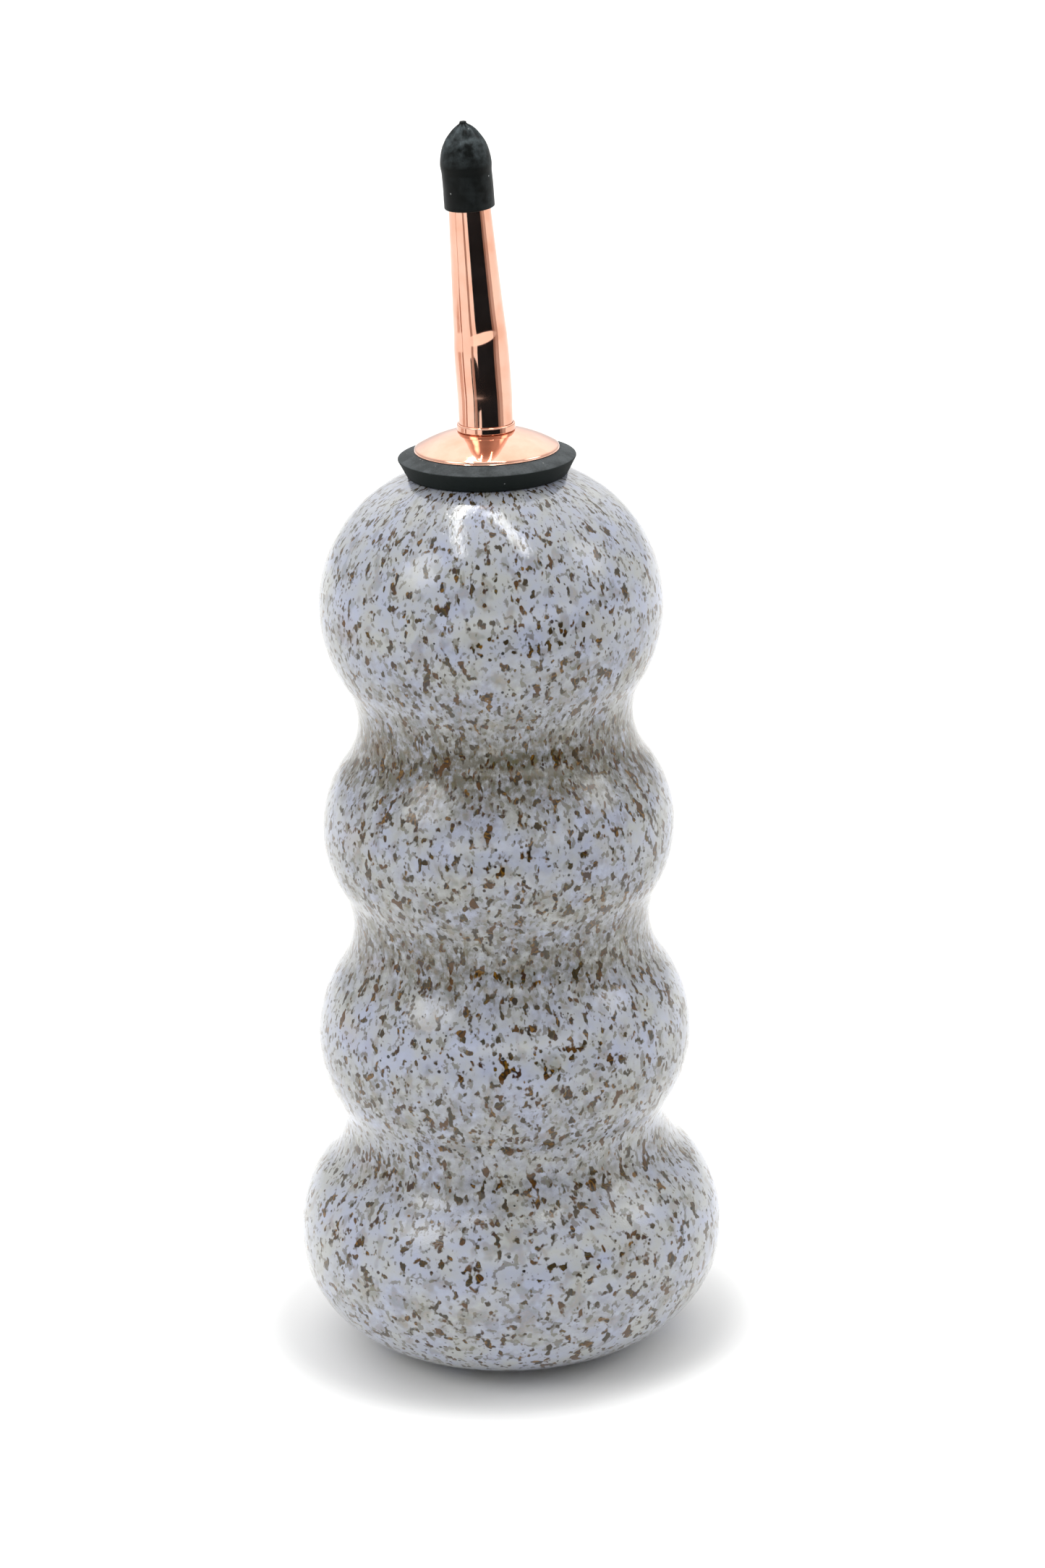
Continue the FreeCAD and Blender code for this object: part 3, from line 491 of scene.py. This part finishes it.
# The outline goes up the bore, out over the shelf, down the collar, and down the plug round each fin.
# Turned round the axis, its collar is then drawn in by sag times a sum of waves round it.
def makeStopper():
    s = stopper
    corners = [
        (s["bore"], s["plugBase"], 0.3), (s["bore"], s["shelf"][1], 0.2), (*s["shelf"], 0.3),
        (*s["crease"], 0.3), (*s["seat"], 0.35), (s["plugRadius"], s["seat"][1], 0.5),
    ]
    for k in reversed(range(s["fins"])):
        foot = s["plugBase"] + s["finStart"] + k * s["finPitch"]
        tip = foot + s["finRise"]
        corners += [
            (s["plugRadius"], tip + s["finEdge"] + s["finBack"], 0.2),
            (s["finRadius"], tip + s["finEdge"], 0.2), (s["finRadius"], tip, 0.2),
            (s["plugRadius"], foot, 0.2),
        ]
    corners.append((s["plugRadius"], s["plugBase"], 0.5))
    points = turned(cornerOutline(corners, s["step"]), s["columns"])
    turn = roundTurn(s["columns"])
    radius = np.hypot(points[..., 0], points[..., 1])
    collar = smoothStep(*s["sagAbove"], points[..., 2]) * smoothStep(*s["sagOutside"], radius)
    lumps = sum(share * np.sin(count * turn + start) for share, count, start in s["lumps"])
    points[..., :2] *= 1 - s["sag"] / s["sagRadius"] * (collar * (lumps + 2) / 2)[..., None]
    return gridPiece("rubberStopper", points, "loop")


# Black rubber, moulded or dipped, with a fine blasted grain. The eye gets a soft dull black that greys
# where it faces up: dust and lint cling there, and the grey is partly painted light on the lit tops.
def makeRubber(settings):
    dark, dust = settings["dark"], settings["dust"]
    material, tree = newMaterial(settings["name"], dark)
    place = addNode(tree, "TexCoord").outputs["Object"]
    facing = addNode(tree, "NewGeometry").outputs["Normal"]
    upward = addNode(tree, "SeparateXYZ", links={0: facing}).outputs[2]
    # object coordinates are in metres, so a pattern of n mm has a scale of 1000 / n
    blotch = addNode(
        tree, "TexNoise", {"Scale": 1000 / settings["blotch"], "Detail": 4.0}, {"Vector": place})
    grain = addNode(
        tree, "TexNoise", {"Scale": 1000 / settings["grain"], "Detail": 3.0}, {"Vector": place})
    # painted light and dust: the colour greys where the surface faces up, as the lit tops look
    lit = addNode(
        tree, "MapRange", {"From Min": settings["dustFrom"], "From Max": settings["dustTo"]},
        {"Value": upward})
    patchy = addNode(
        tree, "MapRange", {"From Min": 0.38, "From Max": 0.64, "To Min": settings["thin"]},
        {"Value": blotch.outputs["Fac"]})
    share = addNode(tree, "Math", {"operation": "MULTIPLY"}, {0: lit, 1: patchy})
    grained = addNode(
        tree, "MapRange", {"From Min": 0.25, "From Max": 0.75, "To Min": 0.7, "To Max": 1.25},
        {"Value": grain.outputs["Fac"]})
    share = addNode(
        tree, "Math", {"operation": "MULTIPLY", "use_clamp": True}, {0: share, 1: grained})
    ground = addNode(
        tree, "Mix", {"data_type": "RGBA", 6: hexToLinear(dark), 7: hexToLinear(dust)},
        {0: share}).outputs[2]
    # lint: pale specks of 0.2 mm, one in each 2.2 mm or so
    lint = addNode(tree, "TexVoronoi", {"Scale": 1000 / 2.2}, {"Vector": place})
    speck = addNode(
        tree, "MapRange", {"From Min": 0.085, "From Max": 0.05, "To Max": 0.4},
        {"Value": lint.outputs["Distance"]})
    colour = addNode(
        tree, "Mix", {"data_type": "RGBA", 7: hexToLinear("#B9BDBC")}, {0: speck, 6: ground}).outputs[2]
    rough = addNode(
        tree, "MapRange", {"To Min": settings["rough"], "To Max": min(1.0, settings["rough"] + 0.25)},
        {"Value": share})
    bump = addNode(
        tree, "Bump", {"Strength": 1.0, "Distance": settings["relief"] * mm},
        {"Height": grain.outputs["Fac"]})
    shader = addNode(
        tree, "BsdfPrincipled", {"IOR": 1.52, "Specular IOR Level": settings["shine"]},
        {"Base Color": colour, "Roughness": rough, "Normal": bump})
    addNode(tree, "OutputMaterial", links={"Surface": shader})
    return material


stopperPiece = makeStopper()
stopperPiece.data.materials.append(makeRubber(stopper["rubber"]))
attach(stopperPiece, "stopper")
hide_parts("rubber_stopper")
print("stopper made")


# The pourer: dome, ferrule and spout, in mm and degrees. Stops are distances up the spout's middle line
# where its taper or direction changes, and radii are the spout's at each.
pourer = {
    "domeRadius": 13.0, "domeBase": 170.15, "domeEdge": 0.5, "domeCurve": 25.6, "sheet": 0.6,
    "domeEasings": [0.4, 0.05, 0.05, 0.1, 0.1, 0.12], "neck": 4.87, "columns": 160,
    "ferrule": (5.25, 173.73, 1.3, 0.3),  # outer radius, base, height, easing
    "spoutBase": 171.23, "stops": (0.0, 6.95, 9.952, 22.752, 51.952),
    "radii": (4.85, 4.77, 4.77, 4.57, 3.38), "bendCurve": 40.0, "heading": -130.0,
    "slant": 25.0, "spoutWall": 0.6, "ventAt": 5.5, "ventRadius": 1.23,
    # the grid at the vent: cells from its middle to its edge, cells to where the grid is plain again,
    # rows below those, and how far the pull on them fades out
    "ventCells": 5, "ventReach": 11, "ventRows": 5, "ventFade": 2.6, "cellSize": 0.236,
    "spoutColumns": 128, "lip": (0.15, 0.5, 0.85),  # shares of the wall where the tip's rows lie
    "shoulder": (0.52, 20.2, 1.75, 36.0),  # drop, distance up the spout, half length, heading it faces
    # how much of it is left at the back, its slope round the spout, and where below it the swell starts
    "shoulderBack": 0.3, "shoulderSlope": 1.1, "shoulderRise": (20, 2.5),
    # tone and roughness of the metals, and how far their draw lines are stretched
    "copper": {"name": "polishedCopperPlate", "colour": "#E8B7A1", "worn": "#DFA78E",
               "roughness": 0.05, "stretch": 0.03},
    "steel": {"name": "drawnSteelTube", "colour": "#C9C7C2", "worn": "#B6B4B0",
              "roughness": 0.24, "stretch": 0.1},
    # sizes in mm: draw lines, handling haze, and depth of the lines; and how much the haze roughens
    "drawLine": 0.5, "haze": 5, "lineDepth": 0.0012, "hazeRoughness": 0.03,
}


# A pressed cap between two spheres about one point on the axis: height = sqrt(curve^2 - radius^2) - drop.
def makeDome():
    p = pourer
    rim, sheet, neck = p["domeRadius"], p["sheet"], p["neck"]
    drop = math.sqrt(p["domeCurve"] ** 2 - rim ** 2) - p["domeEdge"]

    def sphereRun(curve, first, last, step):
        radius = np.linspace(first, last, max(4, math.ceil(abs(last - first) / step)))
        return np.stack([radius, np.sqrt(curve ** 2 - radius ** 2) - drop], -1)

    outer = sphereRun(p["domeCurve"], rim, neck, 0.3)
    inner = sphereRun(p["domeCurve"] - sheet, neck, rim - sheet, 1.0)
    runs = [
        lineRun((rim, 0), (rim, p["domeEdge"]), 0.2), outer, lineRun(outer[-1], inner[0], 0.3), inner,
        lineRun(inner[-1], (rim - sheet, 0), 0.3), lineRun((rim - sheet, 0), (rim, 0), 0.3),
    ]
    profile = easedProfile(runs, p["domeEasings"], closed=True)
    profile[:, 1] += p["domeBase"]
    return gridPiece("copperDome", turned(profile, p["columns"]), "loop")


# A ring turned from four corners, the upper outer one eased until the outside is half round.
def makeFerrule():
    outer, base, height, easing = pourer["ferrule"]
    neck = pourer["neck"]
    corners = [
        (outer, base, 0.2), (outer, base + height, easing), (neck, base + height, 0.03),
        (neck, base, 0.03),
    ]
    return gridPiece("copperFerrule", turned(cornerOutline(corners, 0.12), pourer["columns"]), "loop")


# The pourer's own axes: sideways towards its heading, across, and up.
def pourerAxes():
    heading = math.radians(pourer["heading"])
    sideways = np.array([math.cos(heading), math.sin(heading), 0.0])
    return sideways, np.array([-sideways[1], sideways[0], 0.0]), np.array([0.0, 0.0, 1.0])


# The spout's middle line at a distance along it: straight up, round the bend, then straight on the slant.
# It gives the point and the unit vector that leans over with the bend.
def spoutLine(distance):
    p = pourer
    sideways, across, upright = pourerAxes()
    bendStart, bendEnd = p["stops"][1], p["stops"][2]
    turn = np.clip(distance - bendStart, 0, bendEnd - bendStart) / p["bendCurve"]
    past = np.clip(distance - bendEnd, 0, None)
    out = p["bendCurve"] * (1 - np.cos(turn)) + past * np.sin(turn)
    up = np.minimum(distance, bendStart) + p["bendCurve"] * np.sin(turn) + past * np.cos(turn)
    middle = out[..., None] * sideways + (up + p["spoutBase"])[..., None] * upright
    leaning = np.cos(turn)[..., None] * sideways - np.sin(turn)[..., None] * upright
    return middle, leaning, across


# A surface of the spout, inset from its outside. Each point is
# middle + radius * (cos turn * leaning + sin turn * across).
# A smooth shoulder, half of 1 - tanh, drops the radius as the taper changes. It is less round the back,
# and slopes round the spout. The upper run is stretched to end in the slanted plane of the tip, and near
# the vent the grid is drawn from a square block of cells to a circle.
def spoutSurface(distance, inset):
    p = pourer
    columns = p["spoutColumns"]
    turn = roundTurn(columns)
    along = distance[:, None] + 0 * turn
    turns = turn + 0 * along
    radius = np.interp(along, p["stops"], p["radii"])
    drop, place, half, facing = p["shoulder"]
    off = turns - math.radians(facing)
    front = p["shoulderBack"] + (1 - p["shoulderBack"]) * (0.5 + 0.5 * np.cos(off)) ** 3
    place = place + p["shoulderSlope"] * np.sin(off)
    riseFrom, riseTo = p["shoulderRise"]
    swell = smoothStep(place - riseFrom, place - riseTo, along)
    swell = swell * (0.5 - 0.5 * np.tanh((along - place) / half))
    radius = radius + drop * swell * front - inset
    tipRadius, upperStart, end = p["radii"][-1], p["stops"][-2], p["stops"][-1]
    slanted = ((tipRadius - inset) * np.cos(turns) - tipRadius) * math.tan(math.radians(p["slant"]))
    share = np.clip((along - upperStart) / (end - upperStart), 0, 1)
    along = along + share * slanted
    # vent: u up the spout and v round it, in cells of the block; chessboard distance 1 is the block's edge
    blockUp = p["ventCells"] * p["cellSize"]
    blockRound = p["ventCells"] * 2 * math.pi / columns * (p["radii"][0] - inset)
    u = along - p["ventAt"]
    v = (turns - math.pi) * radius
    chess = np.maximum(np.abs(u) / blockUp, np.abs(v) / blockRound)
    pull = p["ventRadius"] / np.maximum(np.hypot(u, v), 1e-6) - 1
    pull = pull * smoothStep(p["ventFade"], 1.0, chess)
    pull = np.where(chess < 0.9, 0, pull)
    along = along + u * pull
    turns = turns + v * pull / radius
    middle, leaning, across = spoutLine(along)
    return middle + radius[..., None] * (
        np.cos(turns)[..., None] * leaning + np.sin(turns)[..., None] * across)


# The outer surface, a rounded lip and the inner surface in one grid, its rows close together at the vent
# and the shoulder. The vent is the block of cells left out of both surfaces, with a wall between them.
def makeSpout():
    p = pourer
    cells, cell, vent, reach = p["ventCells"], p["cellSize"], p["ventAt"], p["ventReach"]
    near = vent + cell * np.arange(-reach, reach + 1)
    shoulder, end = p["shoulder"][1], p["stops"][-1]
    distance = np.concatenate([
        np.linspace(0, near[0], p["ventRows"] + 1)[:-1], near,
        np.arange(near[-1] + 0.4, shoulder - 4, 0.5),
        np.arange(shoulder - 4, shoulder + 3, 0.2),
        np.linspace(shoulder + 3, end - 0.12, 64),
    ])
    outer, inner = spoutSurface(distance, 0.0), spoutSurface(distance, p["spoutWall"])
    lip = np.stack([
        spoutSurface(np.array([stop]), share * p["spoutWall"])[0]
        for stop, share in zip((end - 0.03, end, end - 0.03), p["lip"])
    ])
    points = np.concatenate([outer, lip, inner[::-1]])
    columns = p["spoutColumns"]
    middleRow, middleColumn = p["ventRows"] + reach, columns // 2
    lowRow, highRow = middleRow - cells, middleRow + cells
    lowColumn, highColumn = middleColumn - cells, middleColumn + cells
    total = len(points)
    dropped = np.zeros((total, columns), bool)
    dropped[lowRow:highRow, lowColumn:highColumn] = True
    dropped[total - 1 - highRow:total - 1 - lowRow, lowColumn:highColumn] = True
    side = np.arange(2 * cells)
    edgeRows = np.concatenate([lowRow + 0 * side, lowRow + side, highRow + 0 * side, highRow - side])
    edgeColumns = np.concatenate(
        [lowColumn + side, highColumn + 0 * side, highColumn - side, lowColumn + 0 * side])

    # the wall of the vent joins the edge of the outer block to the same cells of the inner one
    def ventWall(number):
        outside = number[edgeRows, edgeColumns]
        inside = number[total - 1 - edgeRows, edgeColumns]
        return np.stack([outside, np.roll(outside, -1), np.roll(inside, -1), inside], -1)

    return gridPiece("copperSpout", points, "loop", dropped=dropped, walls=ventWall)


# Copper plate over pressed and drawn steel, polished: pale pink metal that mirrors the room, with a faint
# drawn grain and slight haze from handling. Plain drawn steel is greyer, and its shine is blurred.
def makeMetal(settings):
    colour, worn, roughness = settings["colour"], settings["worn"], settings["roughness"]
    material, tree = newMaterial(settings["name"], colour)
    place = addNode(tree, "TexCoord").outputs["Object"]
    drawn = addNode(tree, "Mapping", {"Scale": (1.0, 1.0, settings["stretch"])}, {"Vector": place})
    lines = addNode(
        tree, "TexNoise", {"Scale": 1000 / pourer["drawLine"], "Detail": 3.0}, {"Vector": drawn})
    haze = addNode(
        tree, "TexNoise", {"Scale": 1000 / pourer["haze"], "Detail": 4.0},
        {"Vector": place}).outputs["Fac"]
    tone = addNode(tree, "ValToRGB", {"stops": [(0.35, worn), (0.62, colour)]}, {"Fac": haze})
    rough = addNode(
        tree, "MapRange",
        {"From Min": 0.3, "From Max": 0.7, "To Min": roughness,
         "To Max": roughness + pourer["hazeRoughness"]},
        {"Value": haze})
    bump = addNode(
        tree, "Bump", {"Strength": 1.0, "Distance": pourer["lineDepth"] * mm},
        {"Height": lines.outputs["Fac"]})
    shader = addNode(
        tree, "BsdfPrincipled", {"Metallic": 1.0},
        {"Base Color": tone, "Roughness": rough, "Normal": bump})
    addNode(tree, "OutputMaterial", links={"Surface": shader})
    return material


copper = makeMetal(pourer["copper"])
steel = makeMetal(pourer["steel"])
pourerPieces = [
    (makeDome(), "dome_flange"), (makeFerrule(), "spout_ferrule"), (makeSpout(), "pouring_spout")]
for piece, node in pourerPieces:
    piece.data.materials.append(copper)
    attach(piece, "pourer")
    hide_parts(node)
# the hidden tubes keep their CAD shape
for node, metal in (("stem_tube", copper), ("breather_tube", steel)):
    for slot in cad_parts[node].material_slots:
        slot.material = metal
print("pourer made")


# The dust cap, in mm: its start up the spout's middle line, then heights above its rim.
cap = {
    "start": 42.952, "rimRadius": 4.447, "skirtRadius": 4.397, "skirt": 7.0, "nose": 7.9,
    "nubRadius": 0.6, "nubHeight": 0.35, "boreRadius": 3.797, "boreTaper": 0.0408, "boreDepth": 10.6,
    "nosePowers": (1.9, 1.95), "easings": [0.22, 0.3, 0, 0.24, 0.12, 0.4], "columns": 144,
    "bulge": 0.17, "bulgeUp": (6.2, 8.0), "bulgeDown": (13.5, 10),  # the shoulder stands out a little
    "sway": (0.05, 3, 2.1), "swayFrom": (1, 5),  # depth, count round, rise
    "pleatUp": (11.2, 13.6), "pleatDown": (15.1, 14.4),  # heights where the pleats begin and end
    # pleats pinched in round the nub: heading in degrees, width in degrees, depth in mm
    "pleats": [(-101, 13, 0.55), (-66, 9, 0.5), (-30, 13, 0.4), (25, 18, 0.35), (95, 20, 0.35),
               (160, 18, 0.4), (-142, 15, 0.45)],
    # dents and bumps: heading, height above the rim, size, depth
    "dents": [(-82, 12.6, 0.55, -0.22), (-99, 11.0, 0.45, -0.16), (-165, 12.4, 0.8, 0.18),
              (-70, 13.6, 0.7, 0.12), (60, 11.0, 1.2, -0.12)],
    # dipped rubber, smoother than moulded, with dust and painted top light on it nearly to the vertical
    "rubber": {
        "name": "dippedRubberCap", "dark": "#080C0B", "dust": "#565F62", "shine": 0.1, "rough": 0.42,
        "blotch": 1.8, "grain": 0.3, "relief": 0.02, "dustFrom": -0.1, "dustTo": 0.8, "thin": 0.02,
    },
}


# The cap's own profile by height above its rim: a straight skirt, a nose that follows
# radius * (1 - share^inner)^(1/outer) with the two nose powers, a nub on top, and a tapered bore inside.
def capProfile():
    c = cap
    share = np.sin(np.linspace(0, math.pi / 2, 44)) ** 1.1
    inner, outer = c["nosePowers"]
    nose = np.stack([
        c["skirtRadius"] * (1 - share ** inner) ** (1 / outer), c["skirt"] + c["nose"] * share], -1)
    nose = nose[nose[:, 0] > c["nubRadius"]][::-1]
    top = c["skirt"] + c["nose"] + c["nubHeight"]
    boreTop = c["boreRadius"] - c["boreTaper"] * c["boreDepth"]
    runs = [
        lineRun((0, top), (c["nubRadius"], top), 0.15),
        lineRun((c["nubRadius"], top), nose[0], 0.15),
        nose,
        lineRun(nose[-1], (c["rimRadius"], 0), 0.25),
        lineRun((c["rimRadius"], 0), (c["boreRadius"], 0), 0.15),
        lineRun((c["boreRadius"], 0), (boreTop, c["boreDepth"]), 0.7),
        lineRun((boreTop, c["boreDepth"]), (0, c["boreDepth"]), 0.7),
    ]
    return easedProfile(runs, c["easings"])


# The profile turned about the spout's slanted axis, its radius changed outside by bulge + sway - pleats
# + dents. A pleat is a bell curve in the angle, a dent one in the distance over the surface.
def makeCap():
    c = cap
    profile = capProfile()
    turn = roundTurn(c["columns"])
    radius, height = profile[:, :1] + 0 * turn, profile[:, 1:] + 0 * turn
    outside = (np.arange(len(profile)) < np.argmin(profile[:, 1]))[:, None]
    # headings are the row frame's; the cap's own zero is the pourer's heading
    heading = (np.degrees(turn) + pourer["heading"] + 180) % 360 - 180
    out = c["bulge"] * smoothStep(*c["bulgeUp"], height) * smoothStep(*c["bulgeDown"], height)
    depth, count, rise = c["sway"]
    out = out + depth * np.sin(count * turn + height / rise) * smoothStep(*c["swayFrom"], height)
    near = smoothStep(*c["pleatUp"], height) * smoothStep(*c["pleatDown"], height)
    for middle, wide, depth in c["pleats"]:
        off = (heading - middle + 180) % 360 - 180
        out = out - near * depth * bell(off, 0, wide)
    for middle, place, size, depth in c["dents"]:
        off = np.radians((heading - middle + 180) % 360 - 180) * np.maximum(radius, 0.5)
        out = out + depth * np.exp(-(off ** 2 + (height - place) ** 2) / size ** 2)
    radius = np.maximum(radius + out * outside * smoothStep(0.3, 1.4, radius), 0.0)
    middle, leaning, across = spoutLine(c["start"] + height * 0)
    ends = spoutLine(np.array([c["start"], c["start"] + 1]))[0]
    axis = ends[1] - ends[0]
    points = middle + height[..., None] * axis + radius[..., None] * (
        np.cos(turn)[..., None] * leaning + np.sin(turn)[..., None] * across)
    return gridPiece("dustCap", points, "poles")


capPiece = makeCap()
capPiece.data.materials.append(makeRubber(cap["rubber"]))
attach(capPiece, "cap")
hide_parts("dust_cap")
print("cap made")


# The studio, in metres: a pale floor, soft light, and cards that the polished copper reflects. Azimuths
# are in degrees from the front, towards +X.
studio = {
    "paper": "#F1F1F0", "paperGlow": 0.42, "farGlow": 0.14,
    # the glow grows between two distances from a centre, and fades to the far one between two more; near
    # the object it is nil, which leaves a painted contact shadow shaped by the centre's offset
    "glowCentre": (-0.0015, 0.005, 0.0), "glowFrom": 0.040, "glowTo": 0.056,
    "glowEnds": 0.08, "farFrom": 0.16,
    "room": 0.86, "roomFront": 0.45,  # brightness of the room, and of its dark front side
    "frontAxis": (0.0, -0.97, 0.24), "frontEdges": (0.55, 0.95),
    # windows: azimuth, elevation, brightness added, and the angles where each is full and gone
    "windows": [(-60, 40, 4.4, 4, 18), (88, 34, 3.0, 5, 16), (180, 58, 0.95, 22, 62)],
    # strips of light hang level over the object: ends of each, width, power
    "stripHeight": 1.16,
    "strips": [
        ("leftStrip", (-0.35, -0.58), (-0.25, 0.16), 0.06, 2.2),
        ("apexStrip", (-0.25, 0.14), (-0.15, 0.42), 0.07, 1.5),
        ("rightStrip", (-0.16, 0.43), (0.44, -0.56), 0.07, 3.7),
    ],
    "cardDistance": 0.40, "cardColumns": 40,
    # cards: first and last azimuth, heights there of the bottom and of the top, shade, own light
    "cards": [
        ("darkCard", -17, 56, (0, 0), (0.155, 0.178), "#1A2025", 0.0),
        ("darkCardLeft", -34, -17, (0, 0), (0.080, 0.044), "#1A2025", 0.0),
        ("darkPost", -50, -45, (0, 0), (0.07, 0.07), "#1A2025", 0.0),
        ("paleCard", -34, 56, (0.150, 0.178), (0.22, 0.248), "#F4F4F4", 0.45),
        ("greyCardNear", 56, 66, (0, 0), (0.18, 0.18), "#8E7D76", 0.0),
        ("greyCardFar", 66, 82, (0, 0), (0.18, 0.18), "#BEB2AC", 0.0),
        ("greyCardLeft", -44, -34, (0, 0), (0.15, 0.15), "#A8978F", 0.0),
        ("brownStripe", -91, -84, (0, 0), (0.10, 0.10), "#A98475", 0.0),
        ("paleStripe", -116, -97, (0, 0), (0.10, 0.10), "#E6D0C7", 0.0),
        ("thinStripe", -88, -84, (0.10, 0.10), (0.25, 0.25), "#E0CCC3", 0.0),
    ],
}


# A thing that isn't part of the object, from its corners and faces.
def stagePiece(name, corners, faces):
    mesh = bpy.data.meshes.new(name)
    mesh.from_pydata(corners, [], faces)
    piece = bpy.data.objects.new(name, mesh)
    scene.collection.objects.link(piece)
    return piece


floor = stagePiece("studioFloor", [(-6, -6, 0), (6, -6, 0), (6, 6, 0), (-6, 6, 0)], [(0, 1, 2, 3)])
material, tree = newMaterial("paleStudioPaper", studio["paper"])
place = addNode(tree, "TexCoord").outputs["Object"]
away = addNode(
    tree, "VectorMath", {"operation": "DISTANCE", 1: studio["glowCentre"]}, {0: place}).outputs["Value"]
# painted light: the paper glows away from the object, so it stays white to the edge of the view;
# the ring where the glow rises draws the edge of a painted contact shadow
lift = addNode(
    tree, "MapRange",
    {"interpolation_type": "SMOOTHSTEP", "From Min": studio["glowFrom"], "From Max": studio["glowTo"],
     "To Max": 1.0},
    {"Value": away})
fade = addNode(
    tree, "MapRange",
    {"interpolation_type": "SMOOTHSTEP", "From Min": studio["glowEnds"], "From Max": studio["farFrom"],
     "To Min": studio["paperGlow"], "To Max": studio["farGlow"]},
    {"Value": away})
lift = addNode(tree, "Math", {"operation": "MULTIPLY"}, {0: lift, 1: fade})
paper = addNode(
    tree, "BsdfPrincipled",
    {"Base Color": hexToLinear(studio["paper"]), "Roughness": 0.9,
     "Emission Color": hexToLinear("#FFFFFF")},
    {"Emission Strength": lift})
addNode(tree, "OutputMaterial", links={"Surface": paper})
floor.data.materials.append(material)

# Each card is part of an upright cylinder round the object, seen only in reflections: distance times
# (sin azimuth, -cos azimuth), with its bottom and top edges sloping evenly. The dark ones make the dark
# band on the spout, the pale one the break in it, and the rest soften its sides.
for name, first, last, low, high, shade, glow in studio["cards"]:
    columns = studio["cardColumns"]
    azimuth = np.radians(np.linspace(first, last, columns))
    across, out = studio["cardDistance"] * np.sin(azimuth), -studio["cardDistance"] * np.cos(azimuth)
    edges = [np.stack([across, out, np.linspace(*heights, columns)], -1) for heights in (low, high)]
    faces = [(k, k + 1, k + 1 + columns, k + columns) for k in range(columns - 1)]
    card = stagePiece(name, np.concatenate(edges), faces)
    material, tree = newMaterial(name + "Paint", shade)
    paint = addNode(
        tree, "BsdfPrincipled",
        {"Base Color": hexToLinear(shade), "Roughness": 1.0, "Specular IOR Level": 0.0,
         "Emission Color": hexToLinear("#FFFFFF"), "Emission Strength": glow})
    addNode(tree, "OutputMaterial", links={"Surface": paint})
    card.data.materials.append(material)
    card.visible_camera = card.visible_diffuse = card.visible_shadow = False

# a white room, dimmer in front, with windows that fade out between two angles from their middle
world = bpy.data.worlds.new("softWhiteRoom")
scene.world = world
world.use_nodes = True
tree = world.node_tree
tree.nodes.clear()
direction = addNode(tree, "TexCoord").outputs["Generated"]
ahead = addNode(
    tree, "VectorMath", {"operation": "DOT_PRODUCT", 1: studio["frontAxis"]},
    {0: direction}).outputs["Value"]
shine = addNode(
    tree, "MapRange",
    {"interpolation_type": "SMOOTHSTEP", "From Min": studio["frontEdges"][0],
     "From Max": studio["frontEdges"][1], "To Min": studio["room"], "To Max": studio["roomFront"]},
    {"Value": ahead})
for azimuth, elevation, brightness, full, gone in studio["windows"]:
    a, e = math.radians(azimuth), math.radians(elevation)
    facing = (math.sin(a) * math.cos(e), -math.cos(a) * math.cos(e), math.sin(e))
    toward = addNode(
        tree, "VectorMath", {"operation": "DOT_PRODUCT", 1: facing}, {0: direction}).outputs["Value"]
    window = addNode(
        tree, "MapRange",
        {"interpolation_type": "SMOOTHSTEP", "From Min": math.cos(math.radians(gone)),
         "From Max": math.cos(math.radians(full)), "To Max": brightness},
        {"Value": toward})
    shine = addNode(tree, "Math", {"operation": "ADD"}, {0: shine, 1: window})
room = addNode(tree, "Background", {"Color": hexToLinear("#F8F8F8")}, {"Strength": shine})
addNode(tree, "OutputWorld", links={"Surface": room})

for name, first, last, width, power in studio["strips"]:
    light = bpy.data.lights.new(name, "AREA")
    along = Vector(last) - Vector(first)
    light.shape, light.size, light.size_y, light.energy = "RECTANGLE", along.length, width, power
    lamp = bpy.data.objects.new(name, light)
    middle = (Vector(first) + Vector(last)) / 2
    lamp.matrix_world = (
        Matrix.Translation((middle.x, middle.y, studio["stripHeight"]))
        @ Matrix.Rotation(math.atan2(along.y, along.x), 4, "Z"))
    lamp.visible_diffuse = lamp.visible_camera = False  # a streak of shine, no light of its own
    scene.collection.objects.link(lamp)

# lens and sensor width in mm
camera = {
    "place": (0.0046, -0.7615, 0.3522), "pitch": 72.16, "roll": -1.69, "lens": 100.43, "sensor": 36.0}
lens = bpy.data.cameras.new("studioCamera")
lens.lens, lens.sensor_width = camera["lens"], camera["sensor"]
viewer = bpy.data.objects.new("studioCamera", lens)
viewer.matrix_world = (
    Matrix.Translation(camera["place"])
    @ Matrix.Rotation(math.radians(camera["pitch"]), 4, "X")
    @ Matrix.Rotation(math.radians(camera["roll"]), 4, "Z"))
scene.collection.objects.link(viewer)
scene.camera = viewer
print("studio made")

bpy.context.view_layer.update()
